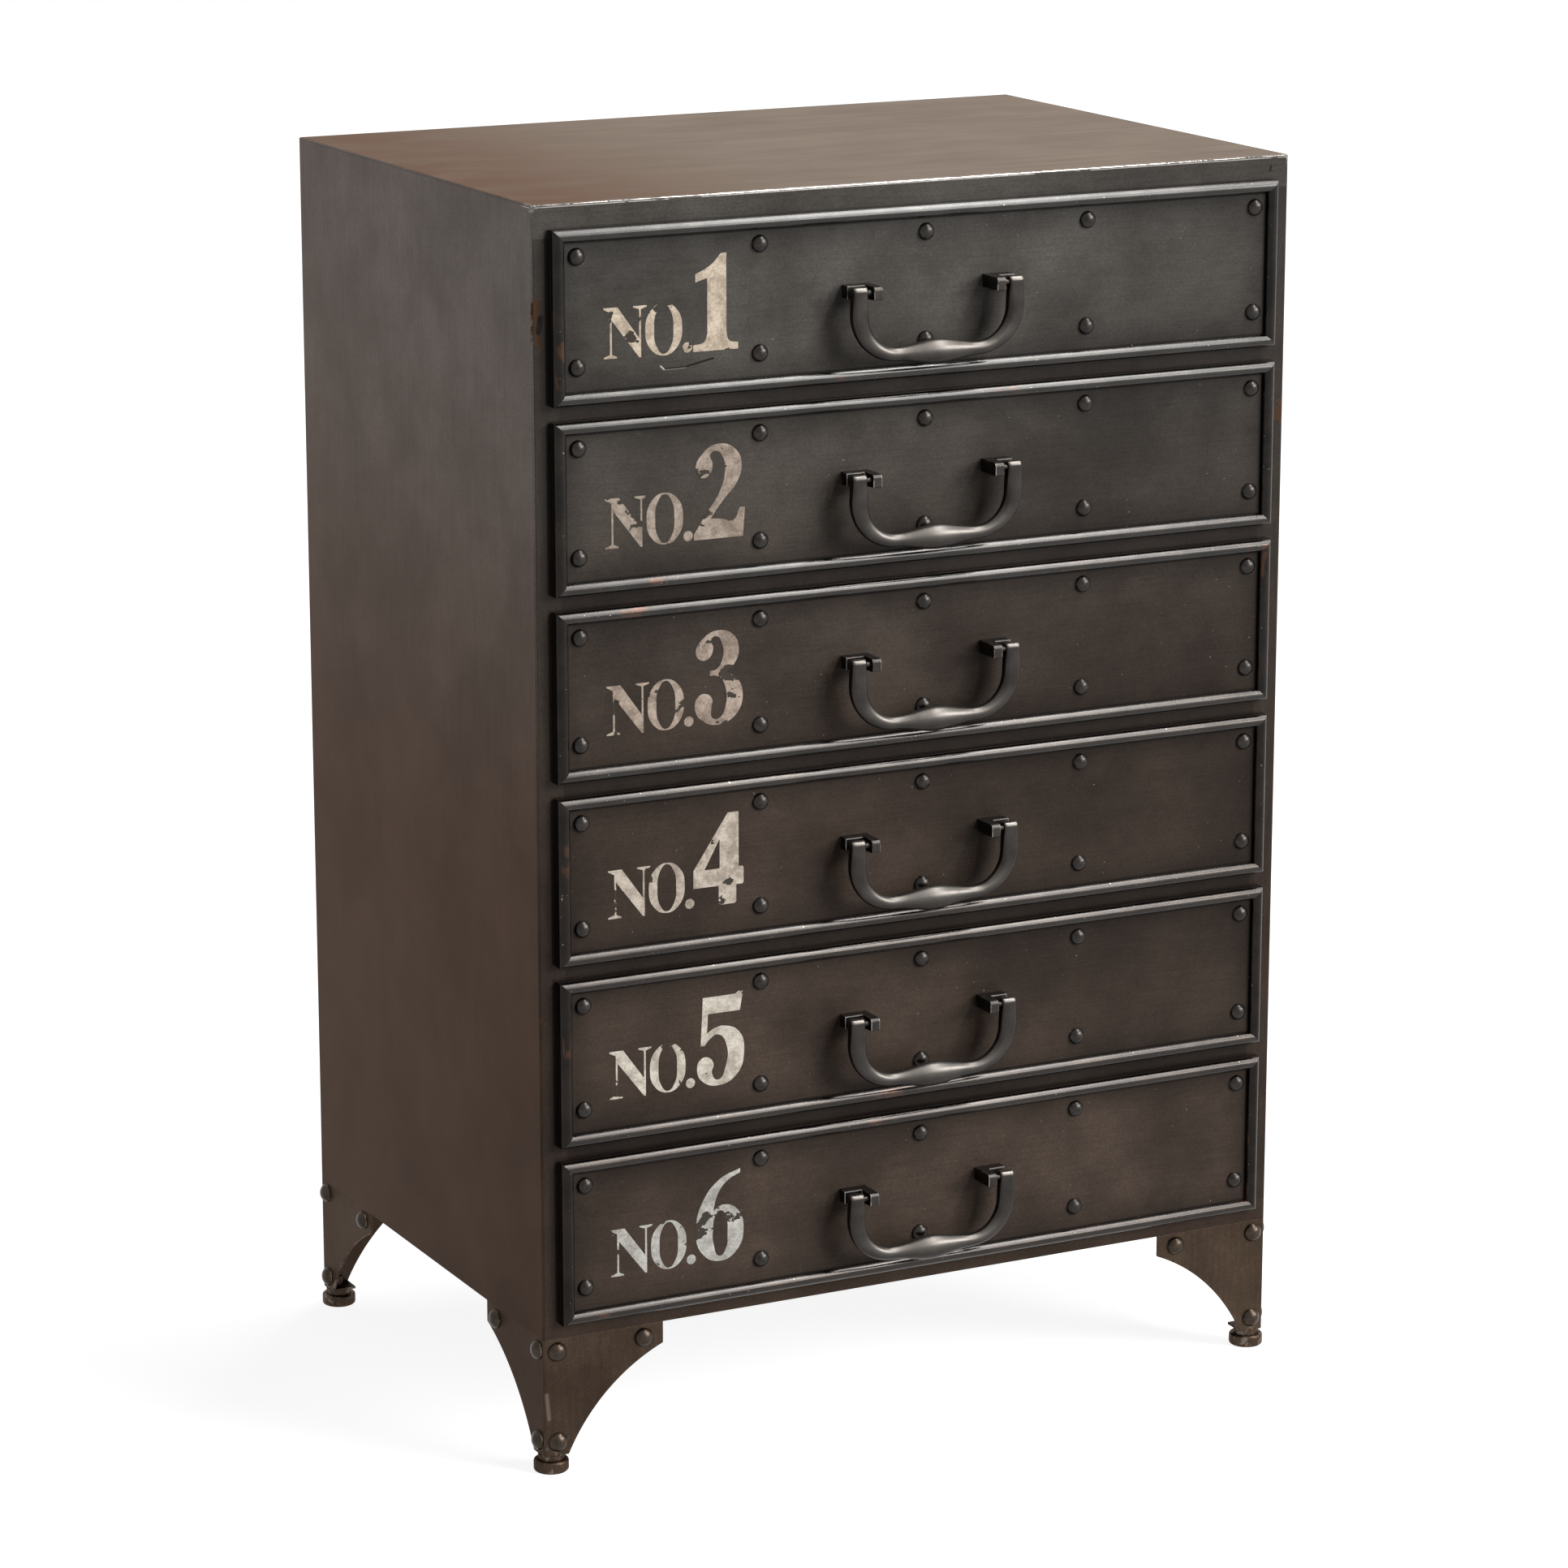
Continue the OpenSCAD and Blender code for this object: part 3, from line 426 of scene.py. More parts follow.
def number_paint(name, tones, wear):
    """Cream stencil enamel, old and rubbed. It gives the eye chalky paint with chips down to the steel."""
    material, tree, shader = start_finish(name)
    stain = ramp(tree, grain(tree, (9, 9, 9), detail=5, roughness=0.7), *CLOUDY)
    colour = tint(tree, stain, *tones)
    flecks = ramp(tree, grain(tree, (1.7, 1.7, 1.7), detail=3, roughness=0.7, shift=(1, 1, 5)), 0.4, 0.7)
    colour = darken(tree, colour, ramp(tree, flecks, 0.0, 1.0, 1.08, 0.82))
    chips = grain(tree, (19, 19, 14), detail=6, roughness=0.55, shift=(2, 4, 9))
    bare = ramp(tree, chips, 0.68 - wear, 0.686 - wear)
    colour = tint(tree, bare, colour, "#3D3833")
    tree.links.new(colour, shader.inputs["Base Color"])
    gloss = ramp(tree, bare, 0.0, 1.0, 0.62, 0.42)
    tree.links.new(gloss, shader.inputs["Roughness"])
    gleam_tone, gleam_level = LACQUER
    shader.inputs["Specular Tint"].default_value = srgb(gleam_tone)
    shader.inputs["Specular IOR Level"].default_value = gleam_level
    relief(tree, shader, bare, -0.1)
    return material


def plain_sheet(name, colour, metallic, roughness, line_size):
    """Unpatinated inner steel: zinc plate, thin paint or oil, with faint rolling lines."""
    material, tree, shader = start_finish(name)
    lines = ramp(tree, grain(tree, line_size, detail=3, roughness=0.6), 0.25, 0.75, 0.85, 1.1)
    shaded = darken(tree, srgb(colour), lines)
    tree.links.new(shaded, shader.inputs["Base Color"])
    shader.inputs["Metallic"].default_value = metallic
    clouds = grain(tree, (30, 30, 30), detail=3, shift=(0, 6, 1))
    gloss = ramp(tree, clouds, *CLOUDY, roughness - 0.06, roughness + 0.08)
    tree.links.new(gloss, shader.inputs["Roughness"])
    return material


# Pairs of tones, between which each finish clouds
GREY, BROWN = ("#353330", "#474542"), ("#2E2621", "#3E342D")
# The sides' lower tones are browner patina and also much darker: the darkening is painted shade
SIDE_GREY, SIDE_BROWN_SHADED = ("#4A4846", "#555250"), ("#281E18", "#32261E")
LEG_BROWN = ("#352A22", "#42362C")

# What covers the steel: the tone of its gleam and how strong that is
LACQUER = ("#BDB0A6", 0.1)
BARE_PATINA = ("#D2CAC6", 0.5)
MATT_WAX = ("#C8B4A4", 0.0)

# Brush lines, as the size of their features in millimetres on X, Y and Z
UP_THE_SIDES, UP_THE_STILES, UP_THE_LEGS = (1.4, 1.4, 55), (0.8, 30, 30), (3, 3, 40)
ALONG_THE_TOP, ALONG_THE_FRONTS = (50, 1.4, 1.4), (30, 30, 0.8)

# Heights in metres, between which the lower tones turn to the higher ones
WHOLE_CASE, RIM_HEIGHTS, FRONT_HEIGHTS, SIDE_HEIGHTS = (0.0, 1.0), (0.3, 0.9), (0.45, 0.92), (0.38, 0.93)

# The sides turn browner downwards, and darker downwards as painted shade
case_finish = patinated_sheet("patinated_case_steel", SIDE_GREY, SIDE_BROWN_SHADED, SIDE_HEIGHTS, UP_THE_SIDES,
                              case_wear, 1.0, BARE_PATINA)
top_finish = patinated_sheet("patinated_top_steel", GREY, GREY, WHOLE_CASE, ALONG_THE_TOP,
                             top_face, 0.04, MATT_WAX)
rim_finish = patinated_sheet("patinated_rim_steel", ("#383532", "#474440"), ("#30261F", "#3B3029"),
                             RIM_HEIGHTS, ALONG_THE_FRONTS, case_wear, 0.2, LACQUER)
# The rails between the drawers get darker tones than the rim: painted shade, for the shadow that each drawer
# above casts into the gap
shaded_rail_finish = patinated_sheet("patinated_rail_steel_painted_shade", ("#262220", "#302C29"), ("#201A17", "#2B241F"),
                              RIM_HEIGHTS, ALONG_THE_FRONTS, case_wear, 0.2, LACQUER)
stile_finish = patinated_sheet("patinated_stile_steel", ("#2C2825", "#37332F"), ("#29211D", "#352C26"),
                               RIM_HEIGHTS, UP_THE_STILES, case_wear, 0.2, LACQUER)
leg_finish = patinated_sheet("patinated_leg_steel", LEG_BROWN, LEG_BROWN, WHOLE_CASE, UP_THE_LEGS,
                             folded_wear, 1.0, BARE_PATINA)
front_finish = patinated_sheet("brushed_front_steel", GREY, BROWN, FRONT_HEIGHTS, ALONG_THE_FRONTS,
                               front_wear, 0.05, LACQUER)
bead_finish = rubbed_bead("rubbed_bead_steel", ("#21201E", "#2C2A28"), ("#1E1916", "#29231E"), 0.45)
# The bead's upright lengths get a darker, less glossy copy of its finish: painted shade, as the upright lengths
# catch less light than the level ones
shaded_upright_finish = rubbed_bead("bead_steel_painted_shade_upright", ("#191715", "#24211E"), ("#191512", "#241E1A"), 0.15)
# The handle's paler tone covers its rubbed and upward faces: wear with a painted highlight
handle_finish = cast_iron_finish("cast_iron_handle", ("#23201E", "#302C29"), "#77726C", (0.0, 0.5))
bracket_finish = cast_iron_finish("cast_iron_bracket", ("#24211E", "#322E2B"), "#8A857F", (0.4, 0.6))
rivet_finish = rivet_steel("patinated_rivet_steel", ("#211E1C", "#2F2B28"), 0.25, "#8E8880")
leg_rivet_finish = rivet_steel("patinated_leg_rivet_steel", ("#2F2720", "#3D332B"), 0.15, "#857A6E")
zinc_finish = plain_sheet("zinc_plated_runner", "#B9BAB8", 1.0, 0.4, (30, 60, 2))
tray_finish = plain_sheet("painted_tray_steel", "#55524F", 0.6, 0.5, (60, 60, 3))
pin_finish = plain_sheet("oiled_steel_pin", "#2C2926", 1.0, 0.35, (1, 1, 1))

# The paint of each drawer's number: its two tones, and how much of it has chipped away
PAINT_AGING = {1: (("#928473", "#C4B6A4"), 0.05), 2: (("#776A5E", "#A19589"), 0.07),
               3: (("#75685D", "#A8998C"), 0.09), 4: (("#8A7F73", "#BDB2A5"), 0.05),
               5: (("#999184", "#C7C0B4"), 0.06), 6: (("#8C8983", "#B7B4AE"), 0.05)}
paint_finishes = {n: number_paint(f"worn_stencil_enamel_{n}", *aging) for n, aging in PAINT_AGING.items()}


# ---- Mesh helpers ----

def add_piece(name, bm, body, finish, replaced=()):
    """Turns a bmesh into a piece of the cabinet that rides on a body."""
    mesh = bpy.data.meshes.new(name)
    bm.to_mesh(mesh)
    bm.free()
    piece = bpy.data.objects.new(name, mesh)
    bpy.context.scene.collection.objects.link(piece)
    mesh.materials.append(finish)
    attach(piece, body)
    if replaced:
        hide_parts(*replaced)
    return piece


def merged_copy(node):
    """A copy of a CAD node's mesh with its triangles joined into whole faces."""
    bm = bmesh.new()
    bm.from_mesh(frame["nodes"][node].data)
    bmesh.ops.remove_doubles(bm, verts=bm.verts, dist=0.001 * MM)
    bmesh.ops.dissolve_limit(bm, angle_limit=math.radians(0.4), verts=bm.verts, edges=bm.edges)
    return bm


def shade_smooth(bm, sharp_degrees, mitred=False):
    """Smooth faces, with a crease at every edge sharper than the limit and along the mitres."""
    limit = math.radians(sharp_degrees)
    for face in bm.faces:
        face.smooth = True
    for edge in bm.edges:
        run = edge.verts[1].co - edge.verts[0].co
        mitre = mitred and min(abs(run.x), abs(run.z)) > 0.01 * MM
        edge.smooth = edge.is_manifold and edge.calc_face_angle(0.0) < limit and not mitre


def mark_wear(bm, amount):
    """Writes the wear attribute, from 0 to 1, by a function of the face and the vertex."""
    layer = bm.loops.layers.float.new("wear")
    for face in bm.faces:
        for loop in face.loops:
            loop[layer] = float(amount(face, loop.vert))


def soften(bm, width_mm, pivot=None):
    """Rounds the sharp edges, but not the bore at a pivot, and returns the faces that the rounding made."""
    edges = []
    for edge in bm.edges:
        if edge.is_manifold and edge.calc_face_angle(0.0) > math.radians(50):
            out = edge.verts[0].co - pivot if pivot else Vector((0, 1, 0))
            if math.hypot(out.y, out.z) > BORE_REACH * MM:
                edges.append(edge)
    made = bmesh.ops.bevel(bm, geom=edges, offset=width_mm * MM, offset_type="OFFSET", affect="EDGES",
                           segments=3, profile=0.5, material=-1, clamp_overlap=pivot is None)
    return made["faces"]


def facing(direction):
    """A test of whether a face looks a given way."""
    return lambda face: face.normal.dot(Vector(direction)) > 0.9


def stands_upright(face):
    """Whether a face of a bead belongs to one of its upright lengths."""
    heights = [vert.co.z for vert in face.verts]
    return max(heights) - min(heights) > front_h / 2


def dress(node, body, finish, bevel_mm=0.0, pivot=None, sharp_degrees=30, mitred=False, others=()):
    """Stands a smooth-shaded copy, with softened edges, in a CAD node's place. The others are pairs of a
    test and the finish of the faces that pass it."""
    bm = merged_copy(node)
    rounded = set(soften(bm, bevel_mm, pivot)) if bevel_mm else set()
    mark_wear(bm, lambda face, vert: face in rounded)
    shade_smooth(bm, sharp_degrees, mitred)
    for index, (belongs, _) in enumerate(others, 1):
        for face in bm.faces:
            if belongs(face):
                face.material_index = index
    piece = add_piece(f"{node}_dressed", bm, body, finish, [node])
    for _, other in others:
        piece.data.materials.append(other)
    if not mitred:
        weighted = piece.modifiers.new("flat faces stay flat", "WEIGHTED_NORMAL")
        weighted.keep_sharp = True


def turned(profile, steps, centre, axis_turn):
    """A closed solid spun from [radius, height] points in millimetres about its own axis."""
    bm = bmesh.new()
    verts = [bm.verts.new((r * MM, 0, h * MM)) for r, h in profile]
    edges = [bm.edges.new(pair) for pair in zip(verts, verts[1:])]
    bmesh.ops.spin(bm, geom=verts + edges, cent=(0, 0, 0), axis=(0, 0, 1), angle=2 * math.pi,
                   steps=steps, use_merge=True)
    bmesh.ops.remove_doubles(bm, verts=bm.verts, dist=0.001 * MM)
    bmesh.ops.recalc_face_normals(bm, faces=bm.faces)
    bmesh.ops.transform(bm, matrix=Matrix.Translation(centre) @ axis_turn, verts=bm.verts)
    return bm


def join_into(target, bm):
    """Adds one bmesh's faces to another and frees it."""
    mesh = bpy.data.meshes.new("joined")
    bm.to_mesh(mesh)
    bm.free()
    target.from_mesh(mesh)
    bpy.data.meshes.remove(mesh)


# ---- Case, legs and feet ----

def assign(node, finish):
    """Gives a CAD node that stays as it is a finish of its own."""
    for slot in frame["nodes"][node].material_slots:
        slot.material = finish


def build_case():
    """The sheets round the drawers, what is inside them, and the legs and feet."""
    forward, upward = (facing((0, -1, 0)), rim_finish), (facing((0, 0, 1)), top_finish)
    dress("top_panel", "cabinet", case_finish, sharp_degrees=40, others=(forward, upward))
    stile = (facing((0, -1, 0)), stile_finish)
    for node, face in (("left_side_panel", stile), ("right_side_panel", stile), ("bottom_panel", forward)):
        dress(node, "cabinet", case_finish, sharp_degrees=40, others=(face,))
    assign("back_panel", case_finish)
    assign("front_rails", shaded_rail_finish)
    for node in ("left_runners", "right_runners", "drawer_guides"):
        assign(node, zinc_finish)
    for corner in ("front_left", "front_right", "back_left", "back_right"):
        dress(f"{corner}_leg", "cabinet", leg_finish, bevel_mm=EDGE_ROUNDING)
        dress(f"{corner}_foot", "cabinet", leg_finish)


# ---- Rivets ----

def rivet_profile(head_r, head_h, shank_r, grip):
    """Tail, shank and a domed head, as [radius, height] points."""
    tail_r, tail_z = shank_r + TAIL_OVER, -grip - TAIL_H
    points = [(0, tail_z), (tail_r, tail_z), (tail_r, -grip), (shank_r, -grip), (shank_r, 0)]
    for i in range(10):
        angle = math.pi / 2 * i / 9
        points.append((head_r * math.cos(angle), head_h * math.sin(angle) ** 1.15))
    return points


def add_rivets(name, spots, rivet, finish, body, replaced):
    """Rivets at (place, turn) spots, each marked as worn where its head meets the sheet."""
    profile = rivet_profile(*rivet)
    bm = bmesh.new()
    for place, turn in spots:
        join_into(bm, turned(profile, RIVET_SIDES, place, turn))
    rim_r = WORN_RIM_SHARE * max(r for r, h in profile) * MM
    worn = set()
    for face in bm.faces:
        middle = face.calc_center_median()
        nearest = min(spots, key=lambda spot: (spot[0] - middle).length)
        local = nearest[1].inverted() @ (middle - nearest[0])
        if 0 <= local.z < WORN_RIM_H * MM and math.hypot(local.x, local.y) > rim_r:
            worn.add(face)
    mark_wear(bm, lambda face, vert: face in worn)
    shade_smooth(bm, 60)
    add_piece(name, bm, body, finish, replaced)


def front_rivet_spots(n):
    """Five rivets along the top of a drawer front and five along the bottom."""
    low, high = front_boxes[n]
    forward = Matrix.Rotation(math.pi / 2, 4, "X")
    end = high.x - RIVET_END * MM
    spots = []
    for x in (-end, -RIVET_PITCH * MM, 0, RIVET_PITCH * MM, end):
        for z in (high.z - RIVET_DROP * MM, low.z + RIVET_RISE * MM):
            spots.append((Vector((x, panel_y, z)), forward))
    return spots


def leg_rivet_spots():
    """Three rivets on each flange of each leg."""
    spots = []
    leg_low, leg_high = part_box("front_left_leg")
    front_w, side_w = leg_high.x - leg_low.x, leg_high.y - leg_low.y
    leg_h = leg_high.z - leg_low.z
    drop, near, far = LEG_RIVET_DROP * MM, LEG_RIVET_NEAR * MM, LEG_RIVET_FAR * MM
    low_z = LEG_RIVET_RISE * MM - leg_h
    for side in (-1, 1):
        for corner_y, inward in ((case_low.y, 1), (case_high.y, -1)):
            front_turn = Matrix.Rotation(math.pi / 2 * inward, 4, "X")
            side_turn = Matrix.Rotation(math.pi / 2 * side, 4, "Y")
            for along, z in ((near, -drop), (front_w - far, -drop), (near, low_z)):
                x = side * (case_high.x - along)
                spots.append((Vector((x, corner_y, case_low.z + z)), front_turn))
            for along, z in ((near, -drop), (side_w - far, -drop), (near, low_z)):
                y = corner_y + inward * along
                spots.append((Vector((side * case_high.x, y, case_low.z + z)), side_turn))
    return spots


# ---- Bail handles ----

def smooth_step(value, low=0.0, high=1.0):
    """0 up to low and 1 from high on, with an easy curve between them."""
    t = min(max((value - low) / (high - low), 0), 1)
    return t * t * (3 - 2 * t)


def between(first, second, t):
    """A section of the bail between two others."""
    return [a + (b - a) * t for a, b in zip(first, second)]


def bail_rings():
    """Rings from the right arm's top to the middle: [x, z, turn, across, thick, squareness] in mm."""
    half = BAIL_W / 2
    straight = BAIL_DROP - BAIL_CORNER_R
    grip = half - BAIL_CORNER_R
    rings = []
    for z, across, thick in ARM_TOP:
        rings.append((half, z, 0, across, thick, ARM[2]))
    for i in range(ARM_RINGS):
        t = i / ARM_RINGS
        rings.append((half, -straight * t, 0, *between(ARM, SHOULDER, t)))
    for i in range(BEND_RINGS):
        t = i / BEND_RINGS
        turn = math.pi / 2 * t
        x = grip + BAIL_CORNER_R * math.cos(turn)
        z = -straight - BAIL_CORNER_R * math.sin(turn)
        across, thick, _ = between(SHOULDER, NECK, smooth_step(t))
        squareness = NECK[2] + (SHOULDER[2] - NECK[2]) * (1 - t) ** 2
        rings.append((x, z, turn, across, thick, squareness))
    for i in range(GRIP_RINGS + 1):
        t = i / GRIP_RINGS
        section = between(NECK, GRIP, smooth_step(t))
        rings.append((grip * (1 - t), -BAIL_DROP, math.pi / 2, *section))
    return rings


def rounded_ring(ring):
    """The points of one ring: a rounded rectangle across the handle's middle line."""
    x, z, turn, across, thick, squareness = ring
    points = []
    for i in range(BAIL_SIDES):
        angle = 2 * math.pi * i / BAIL_SIDES
        c, s = math.cos(angle), math.sin(angle)
        u = across / 2 * math.copysign(abs(c) ** (2 / squareness), c)
        v = thick / 2 * math.copysign(abs(s) ** (2 / squareness), s)
        points.append(Vector((x + u * math.cos(turn), v, z - u * math.sin(turn))) * MM)
    return points


def rubbed_by_hand(face, vert):
    """Paler on the upper side of the grip and on the tops of the arms: partly rubbed by hands, partly a painted
    highlight on the faces that look up. Heights here are from the hinge.
    """
    height = vert.co.z / MM
    on_grip = smooth_step(-height, 24, 40) * smooth_step(vert.normal.z, -0.5, 0.5)
    return max(0.32 * on_grip, 0.5 * smooth_step(height, 1, 3))


def build_bail(n):
    """A hanging handle, drawn ring by ring from its right arm to the middle of the grip and mirrored."""
    rings = bail_rings()
    bm = bmesh.new()
    loop = bmesh.ops.create_circle(bm, cap_ends=True, segments=BAIL_SIDES, radius=MM)["verts"]
    for vert, point in zip(loop, rounded_ring(rings[0])):
        vert.co = point
    edges = bm.edges[:]
    for ring in rings[1:]:
        made = bmesh.ops.extrude_edge_only(bm, edges=edges)["geom"]
        new_verts = {g for g in made if isinstance(g, bmesh.types.BMVert)}
        edges = [g for g in made if isinstance(g, bmesh.types.BMEdge) and new_verts.issuperset(g.verts)]
        partner = {}
        for vert in new_verts:
            for edge in vert.link_edges:
                partner[edge.other_vert(vert)] = vert
        loop = [partner[v] for v in loop]
        for vert, point in zip(loop, rounded_ring(ring)):
            vert.co = point
    drawn = bm.verts[:] + bm.edges[:] + bm.faces[:]
    bmesh.ops.mirror(bm, geom=drawn, axis="X", merge_dist=0.01 * MM)
    bmesh.ops.remove_doubles(bm, verts=bm.verts, dist=0.01 * MM)
    bmesh.ops.recalc_face_normals(bm, faces=bm.faces)
    bm.normal_update()
    # Paler on the faces that look up: hand wear and a painted highlight
    mark_wear(bm, rubbed_by_hand)
    shade_smooth(bm, 55)
    bmesh.ops.translate(bm, verts=bm.verts, vec=pivots[f"handle_{n}"])
    add_piece(f"drawer_{n}_bail", bm, f"handle_{n}", handle_finish, [f"drawer_{n}_handle"])


# ---- Painted numbers ----

# Outlines in millimetres from the left end of each one's base line, of corner (C) and round (R) points
C, R = "VECTOR", "AUTO"
GLYPHS = {
    "N": [[(0, 0, C), (10, 0, C), (10, 1, C), (6.2, 2.6, C), (6.2, 26, C), (26.8, -0.6, C), (28.2, -0.6, C),
           (28.2, 32.6, C), (32.6, 34, C), (32.6, 35, C), (22.4, 35, C), (22.4, 34, C), (26.8, 32.6, C),
           (26.8, 12.6, C), (10.6, 35, C), (0, 35, C), (0, 34, C), (4.8, 31.6, C), (4.8, 2.6, C),
           (0, 1, C)]],
    "O": [[(14, 35.7, R), (24.1, 30.5, R), (28, 17.5, R), (24.1, 4.5, R), (14, -0.7, R), (3.9, 4.5, R),
           (0, 17.5, R), (3.9, 30.5, R)],
          [(14, 34.6, R), (8.6, 29.4, R), (6.7, 17.5, R), (8.6, 5.6, R), (14, 0.4, R), (19.4, 5.6, R),
           (21.3, 17.5, R), (19.4, 29.4, R)]],
    ".": [[(3.6, 7.2, R), (7.2, 3.6, R), (3.6, 0, R), (0, 3.6, R)]],
    "1": [[(0, 0, C), (34.5, 0, C), (34.5, 4.6, C), (27.6, 6.4, R), (25.6, 12, C), (25.6, 67, C),
           (21.5, 67, C), (14, 59.5, R), (2, 53.5, C), (2, 48, C), (11, 50.5, C), (11, 12, C),
           (8.6, 6.4, R), (0, 4.6, C)]],
    "2": [[(2, 49, R), (7.5, 60.5, R), (20, 66.5, R), (33, 61.5, R), (37.5, 50, R), (33.5, 38, R),
           (23, 26.5, R), (13.5, 14.5, C), (22, 13.5, R), (31, 12, R), (36, 20.5, C), (40, 20.5, C),
           (38.5, 0, C), (0.5, 0, C), (0.5, 4, C), (10, 18, R), (19.5, 31, R), (24.2, 44, R), (23.5, 56, R),
           (18, 61.6, R), (13.4, 59.4, R), (15, 52.5, R), (12.8, 45.4, R), (6.6, 43.4, R)]],
    "3": [[(1.6, 51.5, R), (7.6, 61.8, R), (19, 66.5, R), (31, 62, R), (35, 51.5, R), (31.5, 41.5, R),
           (25, 36.4, C), (33.5, 31, R), (38, 19.5, R), (33, 5.4, R), (18, -1, R), (5, 4, R), (0.6, 13, R),
           (3, 20.2, R), (9, 22, R), (14, 18, R), (13.4, 10.6, R), (14, 4.6, R), (19, 3.4, R), (24, 10, R),
           (24, 27, R), (18.6, 33.8, R), (12.5, 34.6, C), (12.5, 38, C), (17.6, 38.8, R), (22, 45, R),
           (22, 57, R), (17.6, 62.4, R), (13.6, 60.6, R), (15, 54.6, R), (12.4, 47.8, R), (6.4, 46, R)]],
    "4": [[(35.5, 66.5, C), (27, 66.5, C), (0, 27, C), (0, 14, C), (19.8, 14, C), (19.8, 1.4, C),
           (21.2, 0, C), (32.2, 0, C), (33.6, 1.4, C), (33.6, 13.6, C), (38.4, 13.6, C), (39.4, 14.6, C),
           (39.4, 25.6, C), (38.4, 26.6, C), (35.5, 26.6, C)],
          [(20.6, 26.6, C), (8.6, 26.6, C), (20.6, 48, C)]],
    "5": [[(5.4, 65, C), (31, 65, C), (35, 67.6, C), (37.4, 67.6, C), (34.6, 52.6, C), (9.4, 52.6, C),
           (8.6, 38.4, C), (14.4, 41.6, R), (22.4, 42.6, R), (34, 36.8, R), (38, 22.4, R), (32.4, 5.6, R),
           (17.4, -1, R), (4.6, 3.6, R), (0.6, 12.4, R), (3.4, 19.8, R), (9.4, 20.6, R), (13.6, 15.6, R),
           (12.4, 8.8, R), (17, 3.2, R), (23.2, 12, R), (23.4, 30, R), (17.2, 36.8, R), (10.2, 33.6, R),
           (6.8, 29.6, C), (3.6, 29.6, C)]],
    "6": [[(36, 66.5, C), (36, 63.4, C), (25.4, 58.4, R), (17.8, 49, R), (14.6, 37.6, C), (22.6, 41, R),
           (34, 35.6, R), (38.6, 20.6, R), (33.4, 5.4, R), (19.6, -1, R), (5, 7, R), (0.6, 25, R),
           (6, 45.4, R), (19.6, 60.4, R)],
          [(19.6, 2.8, R), (14.8, 11.6, R), (14.2, 24, R), (16.2, 33.6, R), (20.6, 37, R), (24.8, 31, R),
           (25.8, 19, R), (24.4, 7.6, R)]],
}

# The number's left end and, down from the front's top edge, its base line, then each glyph's left end
NUMBER_LEFT, NUMBER_BASE = -248.0, 90.6
LETTER_SPOTS = {"N": -1.0, "O": 30.4, ".": 58.6}
FIGURE_LEFT = {"1": 66.6, "2": 66.2, "3": 66.2, "4": 65.2, "5": 66.8, "6": 65.4}


def glyph_mesh(outlines):
    """A thin plate of paint from closed outlines of [x, y, corner or round] points in millimetres."""
    curve = bpy.data.curves.new("outline", "CURVE")
    curve.dimensions = "2D"
    curve.fill_mode = "BOTH"
    curve.resolution_u = 10
    curve.extrude = PAINT_T * MM / 2
    for outline in outlines:
        spline = curve.splines.new("BEZIER")
        spline.bezier_points.add(len(outline) - 1)
        spline.use_cyclic_u = True
        for point, (x, y, kind) in zip(spline.bezier_points, outline):
            point.co = (x * MM, y * MM, 0)
            point.handle_left_type = kind
            point.handle_right_type = kind
    holder = bpy.data.objects.new("outline", curve)
    bpy.context.scene.collection.objects.link(holder)
    bpy.context.view_layer.update()
    depsgraph = bpy.context.evaluated_depsgraph_get()
    mesh = bpy.data.meshes.new_from_object(holder.evaluated_get(depsgraph))
    bpy.data.objects.remove(holder)
    bpy.data.curves.remove(curve)
    return mesh


def build_number(n):
    """The painted number of a drawer, on the left of its front."""
    bm = bmesh.new()
    figure = str(n)
    base_z = front_boxes[n][1].z - NUMBER_BASE * MM
    upright = Matrix.Rotation(math.pi / 2, 4, "X")
    for glyph, left in [*LETTER_SPOTS.items(), (figure, FIGURE_LEFT[figure])]:
        mesh = glyph_mesh(GLYPHS[glyph])
        place = Vector(((NUMBER_LEFT + left) * MM, panel_y - PAINT_T * MM / 2, base_z))
        mesh.transform(Matrix.Translation(place) @ upright)
        bm.from_mesh(mesh)
        bpy.data.meshes.remove(mesh)
    bmesh.ops.remove_doubles(bm, verts=bm.verts, dist=0.001 * MM)
    bmesh.ops.recalc_face_normals(bm, faces=bm.faces)
    add_piece(f"drawer_{n}_number", bm, f"drawer_{n}", paint_finishes[n])


# ---- Drawers ----

def build_drawer(n):
    """A drawer with its bead, brackets, rivets, bail and number."""
    body = f"drawer_{n}"
    assign(f"{body}_tray", tray_finish)
    assign(f"{body}_front", front_finish)
    assign(f"{body}_pins", pin_finish)
    # The upright lengths take the darker copy of the bead's finish, as painted shade
    shaded_uprights = (stands_upright, shaded_upright_finish)
    dress(f"{body}_bead", body, bead_finish, mitred=True, others=(shaded_uprights,))
    dress(f"{body}_brackets", body, bracket_finish, bevel_mm=EDGE_ROUNDING,
          pivot=pivots[f"handle_{n}"])
    add_rivets(f"{body}_round_heads", front_rivet_spots(n), FRONT_RIVET, rivet_finish, body,
               [f"{body}_rivets"])
    build_bail(n)
    build_number(n)


# ---- Studio ----

# The camera's place in metres, its turns down and to the right in degrees, and its lens in millimetres
CAMERA_PLACE = (-1.7697, -3.4593, 1.4007)
CAMERA_DOWN, CAMERA_RIGHT = 14.015, 26.973
LENS, SENSOR_W = 122.5528, 36.0

# How bright the white round the cabinet is as seen, and how much light it sends to the cabinet
SEEN_WHITE, SENT_WHITE = 1.0, 0.1
FLOOR_REACH, FLOOR_TONE, FLOOR_GLOW = 9.0, 0.3, 0.88

